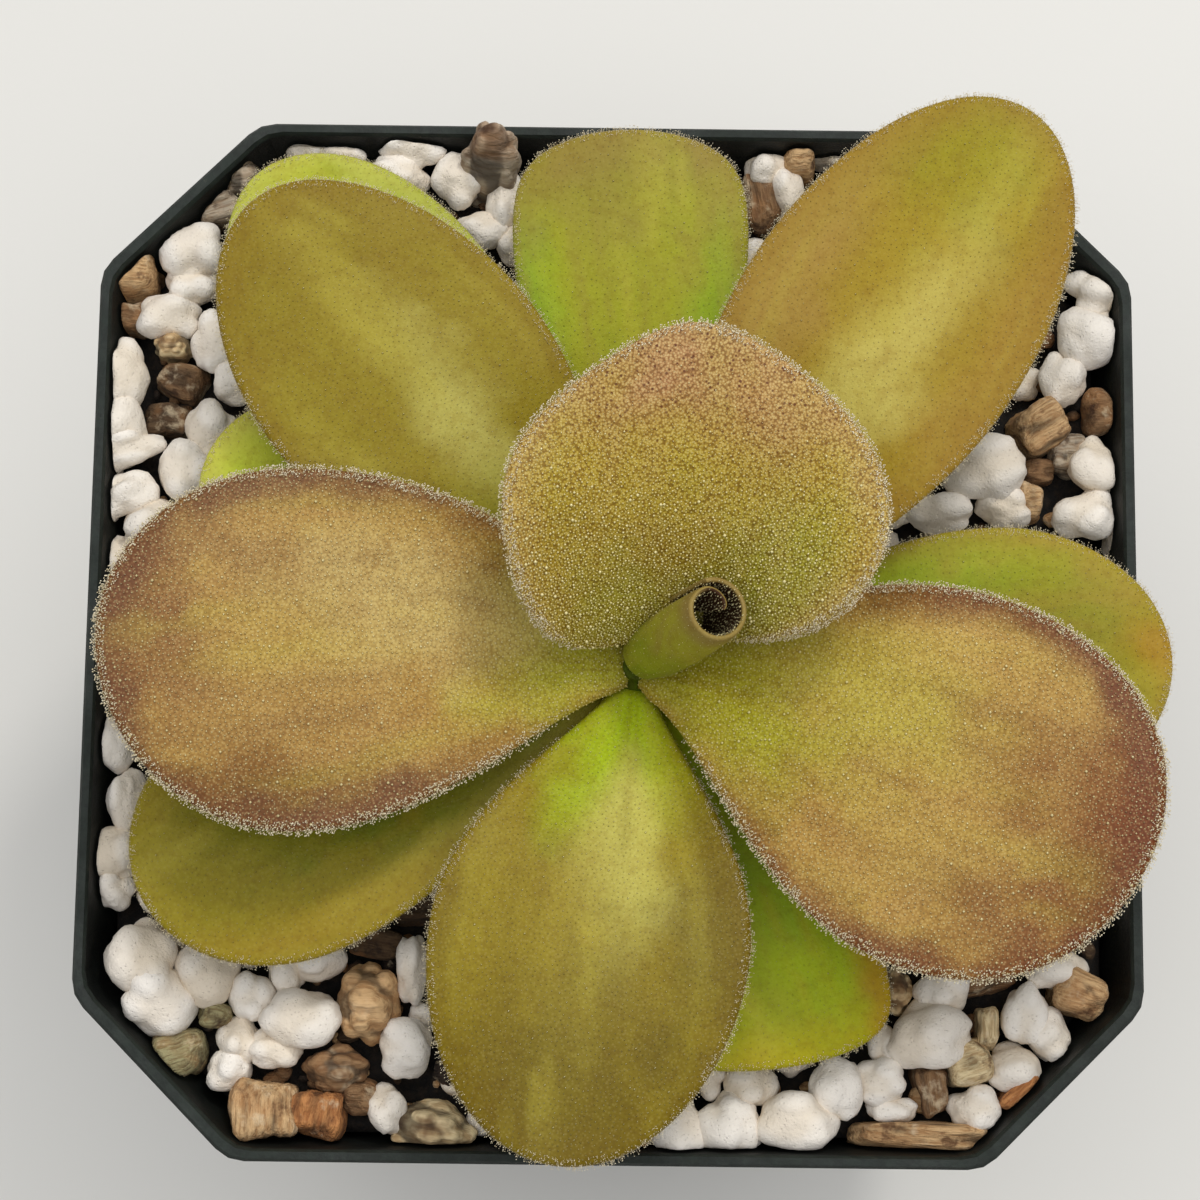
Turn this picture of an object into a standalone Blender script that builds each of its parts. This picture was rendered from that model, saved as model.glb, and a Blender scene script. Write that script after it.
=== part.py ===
"""A butterwort in its square nursery pot.

Lengths are in metres in the scene and in millimetres in the tables below. +Z is up, +Y points
to the top of the photograph and the origin is the centre of the pot's underside.
"""
import math
import random
from collections import namedtuple

import bmesh
import bpy
import numpy as np
from mathutils import Matrix

MM = 0.001
GAP = 0.35
WELD = 0.02

# pot: half widths across the flats, all in millimetres
POT_HEIGHT = 64.0
RIM_HALF = 38.0
COLLAR_HALF = 36.7
COLLAR_Z = 54.6
BASE_HALF = 27.5
CHAMFER_SHARE = 0.30
CORNER_ROUND = 1.2
WALL = 0.9
FLOOR = 1.2
FOOT_EDGE = (0.5, 0.6)
COLLAR_STEP = (1.3, 0.8)
LIP = 0.3
LIP_INSET = 0.2
DRAIN_RADIUS = 3.0
DRAIN_OFFSET = 15.0
DRAIN_SEGMENTS = 16

# potting mix: the bed, then the thin layer that joins the grains
BED_TOP = 58.6
BED_SHOULDER = 1.2
LAYER_TOP = 59.8
LAYER_HALF = 34.6
CLEARING = 0.05
ROOM_OVER_RIM = 0.6
SEED = 13

# grains: a large one gets more facets, and a small one is swollen to make up for having few
GRAIN_BOTTOM = 59.2
GRAIN_EXTRA = 0.3
GRAIN_AIM = 1.3
LARGE_GRAIN = 4.3
SMALL_GRAIN_SWELL = 1.12
GRAIN_LUMPS = (-0.10, 0.06)

# grains under the leaves, which the photograph doesn't show: spacing and how far from the rest
HIDDEN_SPACING = 8.3
HIDDEN_JITTER = 0.9
HIDDEN_SIZE = (1.5, 2.2)
HIDDEN_SHAPE = (1.15, 1.0, 0.62)
HIDDEN_FROM_GRAINS = 4.2
HIDDEN_FROM_CROWN = 7.5
HIDDEN_FROM_WALL = 2.0

# chips: depth of their foot in the bed, the one that stands up against the back of the pot, and
# the shares of the half sizes at which their corners are cut
CHIP_ROOT = 1.2
CHIP_AIM = 0.7
TALL_CHIP = 8.0
TALL_CHIP_LEAN = -18.0
TALL_CHIP_SHIFT = 0.6
CHIP_CORNER = (0.60, 0.80)
CHIP_SHOULDER = (0.4, 0.8)

# crown: height and radius pairs, and the axis it stands on
CROWN_X = 1.8
CROWN_Y = -3.2
CROWN_WIDEST = 4.0
CROWN_PROFILE = ((44.0, 1.2), (50.0, 3.2), (55.0, CROWN_WIDEST), (60.0, CROWN_WIDEST),
                 (64.0, 3.2), (66.0, 2.2), (67.5, 1.1), (68.3, 1.0))
CROWN_SEGMENTS = 20
HOLE_SEGMENTS = 40

# roots: distance from the axis and height at the start and the bend, then where they end
ROOT_COUNT = 5
ROOT_RADIUS = 0.45
ROOT_START = (1.4, 48.0)
ROOT_BEND = (2.9, 42.0)
ROOT_SPREAD = 3.2
ROOT_BOTTOM = 31.0
ROOT_UNEVEN = (0.5, 5.0)

# the photograph's camera, found from the pot's rim; used to place what the picture shows
PHOTO_TILT = 10.0
PHOTO_ROLL = 0.70
PHOTO_DISTANCE = 225.0
PHOTO_TARGET = (-0.9, 2.26, 64.0)
PHOTO_FOCAL = 3110.0

# leaf blades: thickness at the margin and midrib, half width of the neck, and the grid's counts
LEAF_EDGE = 0.70
LEAF_MIDDLE = 1.35
NECK = 2.0
MIDRIB_STEPS = 160
BASE_ROWS = 7
TIP_ROWS = 5
LEAF_COLUMNS = 8

# Leaves, lowest first; angles in degrees, lengths in millimetres. az: direction from the crown,
# bend: its change along the leaf, seat: turn of the base round the crown, z and out: height of the
# base and its distance from the crown, pitch: slope at base and tip, cup: half angle of the
# cross-section's arc at base and tip, widest: place of the full width as a share of the length,
# fill: how slowly each half narrows to the base, square: fullness of the tip, skew: left half's
# extra width as a share.
LEAVES = {
    "leaf_back_left_lowest": dict(
        az=126, bend=2, z=62.4, length=42.8, width=18.5, widest=0.66, pitch=(12, -5), cup=(25, -12),
        colour=(168, 168, 58)),
    "leaf_left_lowest": dict(
        az=153, bend=0, seat=4, z=64.0, length=31, width=18, widest=0.62, pitch=(16, 0), cup=(20, -12),
        colour=(150, 155, 60)),
    "leaf_back_low": dict(
        az=91.5, bend=0, z=64.6, length=36, width=17, widest=0.80, square=0.35, fill=(1.5, 1.5),
        pitch=(18, 0), cup=(35, -15), colour=(148, 152, 55)),
    "leaf_front_left_low": dict(
        az=205.5, bend=0, z=65.25, length=35.5, width=19, widest=0.68, pitch=(14, 0), cup=(30, -15),
        colour=(112, 106, 38)),
    "leaf_front_right_low": dict(
        az=-60, bend=-22, z=63.8, length=26.5, width=17, widest=0.78, square=0.5, pitch=(14, -4),
        cup=(30, -12), colour=(124, 126, 37)),
    "leaf_right_low": dict(
        az=1, bend=0, z=65.1, length=34.9, width=19.5, widest=0.66, pitch=(14, -2), cup=(30, -12),
        colour=(150, 137, 58)),
    "leaf_front": dict(
        az=-99, bend=0, z=66.55, length=34, width=22, widest=0.55, pitch=(28, -2), cup=(30, -22),
        colour=(158, 148, 62)),
    "leaf_back_left": dict(
        az=121.5, bend=20, seat=18, z=65.95, length=40.5, width=20.5, skew=0.06, widest=0.60, pitch=(22, 4),
        cup=(30, -14), colour=(158, 145, 68)),
    "leaf_back_right": dict(
        az=53, bend=4, seat=-3, z=66.8, length=46, width=20.5, widest=0.60, pitch=(25, 4), cup=(30, -14),
        colour=(168, 152, 60)),
    "leaf_left": dict(
        az=178, bend=8, z=67.7, length=37, width=25, skew=0.02, widest=0.64, fill=(0.65, 1.2),
        pitch=(30, 8), cup=(35, -18), colour=(168, 140, 85)),
    "leaf_right": dict(
        az=-20, bend=-10, z=68.2, length=37.2, width=26, widest=0.62, square=0.1, fill=(1.3, 0.95),
        pitch=(28, 8), cup=(28, -14), colour=(165, 134, 76)),
    "leaf_cupped": dict(
        az=82.5, bend=7.5, z=70.4, out=0.9, seat=-48, length=26.6, width=26.2, skew=-0.04, widest=0.52,
        fill=(1.4, 0.5), square=-0.38, pitch=(74, 15), cup=(97, -45), colour=(163, 138, 70)),
}

# The youngest leaf, still rolled up: foot and mouth of its axis, the outer turn's radius at shares
# of its height, the turns at foot and mouth, and the share of that radius left as it winds inwards.
ROLL_FOOT = (2.0, -4.0, 69.6)
ROLL_MOUTH = (6.9, -1.4, 82.0)
ROLL_RADIUS = ((0.0, 0.75), (0.20, 0.86), (0.50, 1.55), (1.0, 1.68))
ROLL_START = 112.0
ROLL_TURNS = (0.84, 1.28)
ROLL_OPENING = 0.50
ROLL_WIND = ((0.0, 1.0), (0.70, 0.92), (0.95, 0.46), (1.30, 0.26))
ROLL_WALL = 0.60
ROLL_ROWS = 8
ROLL_COLUMNS = 23

# Grains and chips that the photograph shows. px and py are the pixel of the centre, read by eye;
# length across the picture, width up the picture and height above the mix are in millimetres.
Grain = namedtuple("Grain", "px py length width turn")
Chip = namedtuple("Chip", "px py length width turn height")

PERLITE = (
    # back left
    Grain(190, 252, 4.4, 4.1, 0), Grain(192, 284, 3.6, 2.9, 0), Grain(122, 372, 3.4, 4.8, 8),
    Grain(120, 422, 3.2, 4.8, 8), Grain(214, 342, 3.1, 4.1, 0), Grain(236, 380, 2.9, 3.2, 0),
    Grain(213, 430, 3.5, 4.4, 20), Grain(186, 470, 3.8, 4.1, 0), Grain(124, 494, 4.5, 2.9, 10),
    Grain(156, 528, 5.1, 4.4, 30), Grain(168, 314, 4.1, 3.1, 0), Grain(128, 448, 4.8, 2.5, 10),
    Grain(303, 143, 3.1, 2.9, 0), Grain(343, 157, 3.1, 2.5, 0), Grain(398, 174, 4.2, 3.2, 0),
    # back
    Grain(412, 146, 4.4, 3.4, 0), Grain(458, 180, 3.5, 3.9, 0), Grain(481, 228, 3.5, 2.8, 0),
    Grain(505, 198, 2.5, 4.4, 0), Grain(516, 242, 2.6, 2.9, 0), Grain(770, 166, 3.2, 3.2, 0),
    Grain(790, 196, 2.5, 3.6, 0), Grain(832, 152, 2.5, 1.8, 20),
    # back right and right
    Grain(1098, 288, 4.4, 3.8, 0), Grain(1090, 334, 4.1, 4.4, 0), Grain(1063, 378, 3.2, 3.6, 0),
    Grain(985, 470, 5.3, 4.5, 20), Grain(1004, 506, 3.6, 2.9, 0), Grain(1096, 464, 3.5, 3.9, 0),
    Grain(1088, 512, 4.4, 3.4, 0), Grain(1126, 534, 2.3, 2.2, 0), Grain(940, 512, 4.4, 2.5, 0),
    # left
    Grain(118, 556, 2.9, 2.9, 0), Grain(114, 745, 2.6, 3.6, 0), Grain(126, 800, 2.5, 4.2, 0),
    Grain(110, 852, 3.1, 3.4, 0), Grain(116, 888, 2.3, 2.8, 0),
    # front left
    Grain(140, 955, 4.5, 4.8, 0), Grain(158, 1000, 4.8, 4.4, 0), Grain(206, 974, 4.1, 4.2, 0),
    Grain(252, 996, 3.1, 3.1, 0), Grain(285, 968, 2.6, 3.6, 0), Grain(316, 958, 3.8, 2.9, 0),
    Grain(300, 1018, 5.1, 3.9, 10), Grain(276, 1046, 3.4, 2.8, 0), Grain(237, 1040, 2.8, 3.1, 0),
    Grain(228, 1070, 2.8, 2.6, 0), Grain(405, 1048, 3.2, 3.8, 0), Grain(412, 970, 2.0, 4.4, 0),
    Grain(387, 1108, 2.5, 3.2, 0),
    # front
    Grain(678, 1122, 3.5, 5.1, 0), Grain(728, 1122, 4.2, 4.2, 0), Grain(752, 1083, 3.5, 3.2, 0),
    Grain(706, 1078, 2.6, 2.8, 0), Grain(798, 1122, 5.3, 3.8, 0), Grain(838, 1088, 3.6, 4.1, 0),
    Grain(745, 1050, 4.4, 2.9, 0), Grain(560, 1120, 4.4, 3.6, 0),
    # front right
    Grain(881, 1082, 3.1, 3.2, 0), Grain(892, 1108, 3.2, 1.8, 0), Grain(930, 1032, 5.3, 4.5, 0),
    Grain(942, 990, 3.5, 3.1, 0), Grain(1026, 1012, 3.1, 3.9, 0), Grain(1050, 1034, 2.8, 3.4, 0),
    Grain(1016, 1066, 3.5, 3.2, 0), Grain(974, 1108, 3.4, 2.9, 0), Grain(1056, 966, 4.4, 2.8, 0),
    Grain(884, 1044, 2.0, 2.9, 0),
)

BARK = (
    # back left
    Chip(238, 172, 3.4, 3.8, 10, 5.0), Chip(218, 207, 3.4, 2.3, 20, 4.2),
    Chip(134, 274, 3.1, 3.5, 0, 5.0), Chip(132, 316, 2.3, 2.3, 0, 3.6),
    Chip(172, 343, 2.9, 2.3, 0, 4.8), Chip(180, 378, 3.6, 2.8, -20, 3.6),
    Chip(168, 418, 3.4, 2.5, 0, 2.6),
    # back
    Chip(490, 148, 4.3, 3.2, -10, 9.2), Chip(799, 158, 2.5, 2.6, 0, 4.6),
    Chip(764, 200, 2.8, 4.5, 10, 3.4),
    # back right and right
    Chip(1100, 410, 2.5, 3.5, 0, 4.2), Chip(1040, 425, 3.8, 3.6, 30, 4.8),
    Chip(1068, 452, 2.6, 3.1, 0, 3.4), Chip(1038, 470, 2.5, 2.0, 0, 2.8),
    Chip(1030, 500, 2.0, 2.8, 0, 4.0),
    # front left
    Chip(179, 1052, 3.8, 3.6, 20, 4.6), Chip(214, 1014, 2.5, 1.9, 0, 4.0),
    Chip(262, 1108, 4.5, 4.2, 0, 4.8), Chip(318, 1112, 3.2, 3.1, 0, 4.4),
    Chip(334, 1068, 4.7, 3.4, 0, 4.6), Chip(360, 1096, 2.6, 2.6, 0, 3.4),
    Chip(368, 1002, 4.4, 5.7, 0, 5.6), Chip(376, 942, 4.1, 2.2, -10, 2.8),
    Chip(432, 1126, 6.4, 3.9, -8, 4.6), Chip(416, 904, 3.2, 2.9, 0, 2.6),
    # front
    Chip(628, 1150, 2.9, 1.8, 20, 3.6),
    # front right
    Chip(1080, 993, 4.1, 3.4, -20, 4.8), Chip(984, 980, 4.5, 2.0, 10, 3.0),
    Chip(968, 1064, 3.4, 3.2, 20, 4.6), Chip(988, 1028, 1.6, 2.9, 0, 4.4),
    Chip(1025, 1096, 3.5, 3.2, 40, 4.0), Chip(934, 1090, 2.5, 3.4, 10, 3.6),
    Chip(928, 1137, 10.7, 2.2, -2, 4.4), Chip(897, 990, 2.2, 3.5, 0, 3.8),
)

POT_COLOUR = (44, 50, 44)
MIX_COLOUR = (150, 118, 80)
PERLITE_COLOUR = (216, 210, 198)
CROWN_COLOUR = (140, 132, 62)
ROLL_COLOUR = (158, 146, 66)


def linear(channel):
    """One 0..255 display value as linear light."""
    share = channel / 255.0
    if share <= 0.04045:
        return share / 12.92
    return ((share + 0.055) / 1.055) ** 2.4


def material(name, colour, roughness):
    """A Principled material of one colour."""
    made = bpy.data.materials.new(name)
    made.use_nodes = True
    shader = made.node_tree.nodes["Principled BSDF"]
    rgba = [linear(channel) for channel in colour] + [1.0]
    shader.inputs["Base Color"].default_value = rgba
    shader.inputs["Roughness"].default_value = roughness
    made.diffuse_color = rgba
    return made


def collection(name):
    """A new collection in the scene."""
    made = bpy.data.collections.new(name)
    bpy.context.scene.collection.children.link(made)
    return made


def add_mesh(name, points, faces, home):
    """An object from points in millimetres."""
    mesh = bpy.data.meshes.new(name)
    mesh.from_pydata([tuple(np.asarray(point) * MM) for point in points], [], faces)
    mesh.update()
    thing = bpy.data.objects.new(name, mesh)
    home.objects.link(thing)
    return thing


def bmesh_object(name, work, home):
    """An object from a bmesh."""
    mesh = bpy.data.meshes.new(name)
    work.to_mesh(mesh)
    work.free()
    thing = bpy.data.objects.new(name, mesh)
    home.objects.link(thing)
    return thing


def ring(half, z):
    """The pot's eight-sided outline at one height, its corners slightly rounded."""
    cut = half * CHAMFER_SHARE
    corners = []
    for turn in range(4):
        angle = math.radians(90 * turn)
        for x, y in ((half, -(half - cut)), (half, half - cut)):
            corners.append((x * math.cos(angle) - y * math.sin(angle),
                            x * math.sin(angle) + y * math.cos(angle)))
    points = []
    for index, corner in enumerate(corners):
        before = np.array(corners[index - 1])
        after = np.array(corners[(index + 1) % 8])
        here = np.array(corner)
        back = (before - here) / np.linalg.norm(before - here)
        onward = (after - here) / np.linalg.norm(after - here)
        start = here + back * CORNER_ROUND
        end = here + onward * CORNER_ROUND
        middle = (start + end) / 4 + here / 2
        for point in (start, middle, end):
            points.append((point[0], point[1], z))
    return points


def loft(name, rings, home):
    """A closed solid through rings of equal count, capped at both ends."""
    count = len(rings[0])
    points = [point for one in rings for point in one]
    faces = [tuple(reversed(range(count)))]
    for level in range(len(rings) - 1):
        low = level * count
        high = low + count
        for index in range(count):
            other = (index + 1) % count
            faces.append((low + index, low + other, high + other, high + index))
    last = (len(rings) - 1) * count
    faces.append(tuple(range(last, last + count)))
    return add_mesh(name, points, faces, home)


def cylinder(name, x, y, bottom, top, radius, home, segments):
    """An upright cylinder."""
    work = bmesh.new()
    place = Matrix.Translation((x * MM, y * MM, (bottom + top) / 2 * MM))
    bmesh.ops.create_cone(work, cap_ends=True, segments=segments, radius1=radius * MM,
                          radius2=radius * MM, depth=(top - bottom) * MM, matrix=place)
    return bmesh_object(name, work, home)


def boolean(thing, operation, other=None, group=None):
    """Apply one Boolean of an object, or of a whole collection, and drop what it used."""
    step = thing.modifiers.new("cut", "BOOLEAN")
    step.operation = operation
    step.solver = "EXACT"
    if group is None:
        step.object = other
    else:
        step.operand_type = "COLLECTION"
        step.collection = group
    apply_modifiers(thing)
    used = [other] if group is None else list(group.objects)
    for item in used:
        bpy.data.objects.remove(item, do_unlink=True)


def apply_modifiers(thing):
    """Replace an object's mesh by what its modifiers make of it."""
    graph = bpy.context.evaluated_depsgraph_get()
    graph.update()
    mesh = bpy.data.meshes.new_from_object(thing.evaluated_get(graph))
    thing.modifiers.clear()
    thing.data = mesh


def keep_largest(thing):
    """Drop crumbs that a cut has left apart from the main body."""
    work = bmesh.new()
    work.from_mesh(thing.data)
    waiting = set(work.verts)
    islands = []
    while waiting:
        front = [waiting.pop()]
        island = list(front)
        while front:
            vert = front.pop()
            for edge in vert.link_edges:
                other = edge.other_vert(vert)
                if other in waiting:
                    waiting.discard(other)
                    front.append(other)
                    island.append(other)
        islands.append(island)
    islands.sort(key=len, reverse=True)
    for island in islands[1:]:
        bmesh.ops.delete(work, geom=island, context="VERTS")
    work.to_mesh(thing.data)
    work.free()


def photo_point(px, py, z):
    """The point at height z that the photograph shows at a pixel, in millimetres."""
    tilt = math.radians(PHOTO_TILT)
    roll = math.radians(PHOTO_ROLL)
    back = np.array([0.0, -math.sin(tilt), math.cos(tilt)])
    flat = np.array([1.0, 0.0, 0.0])
    steep = np.cross(back, flat)
    right = math.cos(roll) * flat + math.sin(roll) * steep
    up = math.cos(roll) * steep - math.sin(roll) * flat
    eye = np.array(PHOTO_TARGET) + back * PHOTO_DISTANCE
    ray = right * (px - 600) / PHOTO_FOCAL + up * (600 - py) / PHOTO_FOCAL - back
    return eye + ray * ((z - eye[2]) / ray[2])


def along_table(table, value):
    """A value read off a table of places and values."""
    return float(np.interp(value, [pair[0] for pair in table], [pair[1] for pair in table]))


def crown_radius(z):
    """Radius of the crown at one height."""
    return along_table(CROWN_PROFILE, z)


def leaf_points(leaf, across, t, beyond):
    """Points of a leaf's middle surface.

    across runs from -1 at the right margin to 1 at the left; t runs from 0 to 1 between the base
    and the widest place and, where beyond is true, from there to the tip.
    """
    steps = MIDRIB_STEPS
    share = np.linspace(0, 1, steps + 1)
    pitch = np.radians(leaf["pitch"][0] + (leaf["pitch"][1] - leaf["pitch"][0]) * share)
    az = np.radians(leaf["az"] + leaf["bend"] * share)
    along = np.stack([np.cos(pitch) * np.cos(az), np.cos(pitch) * np.sin(az), np.sin(pitch)], 1)
    middle = np.zeros((steps + 1, 3))
    middle[1:] = np.cumsum((along[1:] + along[:-1]) / 2 * leaf["length"] / steps, 0)
    reach = crown_radius(leaf["z"]) + GAP + leaf.get("out", 0)
    reach += LEAF_MIDDLE / 2 * math.sin(pitch[0])
    seat = math.radians(leaf["az"] + leaf.get("seat", 0))
    middle += [CROWN_X + reach * math.cos(seat), CROWN_Y + reach * math.sin(seat), leaf["z"]]
    side = np.stack([-np.sin(az), np.cos(az), np.zeros_like(az)], 1)
    upper = np.cross(along, side)

    half = leaf["width"] / 2
    neck = NECK / half
    fill = leaf.get("fill", (1.2, 1.2))
    power = np.where(across < 0, fill[0], fill[1])
    below = neck + (1 - neck) * np.sin(math.pi / 2 * t) ** power
    tip_along = t * np.sqrt(1 - across ** 2 / 2)
    tip_across = across * np.sqrt(1 - t ** 2 / 2) * (1 + leaf.get("square", 0) * tip_along ** 2)
    where = np.where(beyond, leaf["widest"] + (1 - leaf["widest"]) * tip_along, t * leaf["widest"])
    out = np.where(beyond, tip_across, across * below)
    distance = out * half * (1 + leaf.get("skew", 0) * np.sign(out))
    bend = np.radians(leaf["cup"][0] + (leaf["cup"][1] - leaf["cup"][0]) * where) / half
    bend = np.where(np.abs(bend) < 1e-5, 1e-5, bend)
    sideways = np.sin(bend * distance) / bend
    raised = (1 - np.cos(bend * distance)) / bend

    place = where * steps
    low = np.clip(np.floor(place).astype(int), 0, steps - 1)
    part = (place - low)[..., None]

    def at(line):
        return line[low] * (1 - part) + line[low + 1] * part

    return at(middle) + sideways[..., None] * at(side) + raised[..., None] * at(upper)


def blade(name, points, weights, thickness, home):
    """A thin solid: a grid of points triangulated and given its thickness by Solidify."""
    rows, columns = points.shape[:2]
    work = bmesh.new()
    bmesh.ops.create_grid(work, x_segments=columns - 1, y_segments=rows - 1, size=1.0)
    work.verts.ensure_lookup_table()
    group = work.verts.layers.deform.verify()
    for vert in work.verts:
        column = round((vert.co.x + 1) / 2 * (columns - 1))
        row = round((vert.co.y + 1) / 2 * (rows - 1))
        vert.co = points[row, column] * MM
        vert[group][0] = float(weights[row, column])
    bmesh.ops.triangulate(work, faces=work.faces, quad_method="SHORT_EDGE")
    thing = bmesh_object(name, work, home)
    thing.vertex_groups.new(name="thick")
    shell = thing.modifiers.new("thickness", "SOLIDIFY")
    shell.thickness = thickness * MM
    shell.offset = 0.0
    shell.vertex_group = "thick"
    shell.thickness_vertex_group = 0.0
    shell.use_rim = True
    shell.use_even_offset = False
    return thing


def make_leaf(name, leaf, home):
    """One leaf as a solid blade, thick along the midrib and thin at the margin."""
    across, t = np.meshgrid(np.linspace(-1, 1, LEAF_COLUMNS + 1),
                            np.concatenate([np.linspace(0, 1, BASE_ROWS + 1),
                                            np.linspace(0, 1, TIP_ROWS + 1)[1:]]))
    beyond = np.zeros_like(t, dtype=bool)
    beyond[BASE_ROWS + 1:] = True
    points = leaf_points(leaf, across, t, beyond)
    towards_edge = np.maximum(np.abs(across) ** 2, np.where(beyond, t ** 3, 0))
    weights = (LEAF_MIDDLE + (LEAF_EDGE - LEAF_MIDDLE) * towards_edge) / LEAF_MIDDLE
    return blade(name, points, weights, LEAF_MIDDLE, home)


def make_roll(name, home):
    """The youngest leaf: a strip wound into a scroll whose inner margin curls to the middle."""
    foot = np.array(ROLL_FOOT)
    mouth = np.array(ROLL_MOUTH)
    height = np.linalg.norm(mouth - foot)
    axis = (mouth - foot) / height
    east = np.cross([0.0, 1.0, 0.0], axis)
    east /= np.linalg.norm(east)
    north = np.cross(axis, east)
    points = np.zeros((ROLL_ROWS, ROLL_COLUMNS, 3))
    for row in range(ROLL_ROWS):
        share = row / (ROLL_ROWS - 1)
        wider = max(0.0, share - ROLL_OPENING) / (1 - ROLL_OPENING)
        turns = ROLL_TURNS[0] + (ROLL_TURNS[1] - ROLL_TURNS[0]) * wider
        for column in range(ROLL_COLUMNS):
            wound = column / (ROLL_COLUMNS - 1) * turns
            angle = math.radians(ROLL_START - 360 * wound)
            out = along_table(ROLL_RADIUS, share) * along_table(ROLL_WIND, wound)
            spot = foot + axis * share * height
            points[row, column] = spot + out * (math.cos(angle) * east + math.sin(angle) * north)
    return blade(name, points, np.ones((ROLL_ROWS, ROLL_COLUMNS)), ROLL_WALL, home)


def make_grain(name, centre, half_sizes, turn, rng, home, detail):
    """A lumpy rounded grain."""
    work = bmesh.new()
    bmesh.ops.create_icosphere(work, subdivisions=detail, radius=1.0)
    spin = Matrix.Rotation(math.radians(turn), 3, "Z")
    swirl = Matrix.Rotation(rng.uniform(0, 6.28), 3, "Z")
    for vert in work.verts:
        bump = 1 + rng.uniform(*GRAIN_LUMPS)
        co = swirl @ vert.co * bump
        co.x *= half_sizes[0]
        co.y *= half_sizes[1]
        co.z *= half_sizes[2]
        co = spin @ co
        vert.co = [(centre[axis] + co[axis]) * MM for axis in range(3)]
    return bmesh_object(name, work, home)


def make_chip(name, centre, half_sizes, turn, lean, home, grow=0.0, seed=0):
    """A blocky chip with cut corners, or with grow the box that clears it by grow on every side."""
    rng = random.Random(seed)
    work = bmesh.new()
    corners = []
    for x in (-1, 1):
        for y in (-1, 1):
            for z in (-1, 1):
                if grow:
                    corners.append((x, y, z))
                    continue
                corners.append((x * rng.uniform(*CHIP_CORNER), y * rng.uniform(*CHIP_CORNER), z))
                corners.append((x, y * rng.uniform(*CHIP_CORNER), z * rng.uniform(*CHIP_SHOULDER)))
                corners.append((x * rng.uniform(*CHIP_CORNER), y, z * rng.uniform(*CHIP_SHOULDER)))
    for corner in corners:
        work.verts.new(corner)
    made = bmesh.ops.convex_hull(work, input=work.verts)
    spare = [item for item in made["geom_interior"] if isinstance(item, bmesh.types.BMVert)]
    bmesh.ops.delete(work, geom=spare, context="VERTS")
    spin = Matrix.Rotation(math.radians(turn), 3, "Z") @ Matrix.Rotation(math.radians(lean), 3, "X")
    for vert in work.verts:
        co = vert.co.copy()
        for axis in range(3):
            co[axis] *= half_sizes[axis] + grow
        co = spin @ co
        vert.co = [(centre[axis] + co[axis]) * MM for axis in range(3)]
    return bmesh_object(name, work, home)


def make_pot(home):
    """The pot: one skin from the underside up the outside, over the rim and down to the floor."""
    below_collar = COLLAR_HALF - COLLAR_STEP[0]
    step_z = COLLAR_Z - COLLAR_STEP[1]
    rings = [
        ring(BASE_HALF - FOOT_EDGE[0], 0.0),
        ring(BASE_HALF, FOOT_EDGE[1]),
        ring(below_collar, step_z),
        ring(COLLAR_HALF, COLLAR_Z),
        ring(RIM_HALF, POT_HEIGHT - LIP),
        ring(RIM_HALF - LIP_INSET, POT_HEIGHT),
        ring(RIM_HALF - WALL + LIP_INSET, POT_HEIGHT),
        ring(RIM_HALF - WALL, POT_HEIGHT - LIP),
        ring(COLLAR_HALF - WALL, COLLAR_Z + LIP_INSET),
        ring(below_collar - WALL, step_z),
        ring(BASE_HALF - WALL, FLOOR),
    ]
    pot = loft("pot", rings, home)
    for x in (-DRAIN_OFFSET, DRAIN_OFFSET):
        for y in (-DRAIN_OFFSET, DRAIN_OFFSET):
            hole = cylinder("drain", x, y, -FLOOR, 2 * FLOOR, DRAIN_RADIUS, home,
                            DRAIN_SEGMENTS)
            boolean(pot, "DIFFERENCE", hole)
    return pot


def chips(home, grow):
    """All the bark chips, each made larger by grow."""
    for index, chip in enumerate(BARK):
        spot = photo_point(chip.px, chip.py, BED_TOP + chip.height * CHIP_AIM)
        half_height = (chip.height + CHIP_ROOT) / 2
        centre = [spot[0], spot[1], BED_TOP + chip.height - half_height]
        lean = 0.0
        if chip.height > TALL_CHIP:
            lean = TALL_CHIP_LEAN
            centre[1] -= TALL_CHIP_SHIFT
        half_sizes = (chip.length / 2, chip.width / 2, half_height)
        make_chip("chip", centre, half_sizes, chip.turn, lean, home, grow, seed=index)


def room_inside_pot(home, bottom):
    """The space above a height that is free of the pot's wall; it widens above the rim."""
    inner = WALL + GAP + CLEARING
    over_rim = RIM_HALF + ROOM_OVER_RIM
    return loft("room", [ring(COLLAR_HALF - inner + LIP, bottom),
                         ring(COLLAR_HALF - inner + LIP, BED_TOP),
                         ring(RIM_HALF - inner, POT_HEIGHT),
                         ring(RIM_HALF - inner, POT_HEIGHT + GAP),
                         ring(over_rim, POT_HEIGHT + GAP + LIP_INSET),
                         ring(over_rim, POT_HEIGHT + TALL_CHIP)], home)


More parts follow.
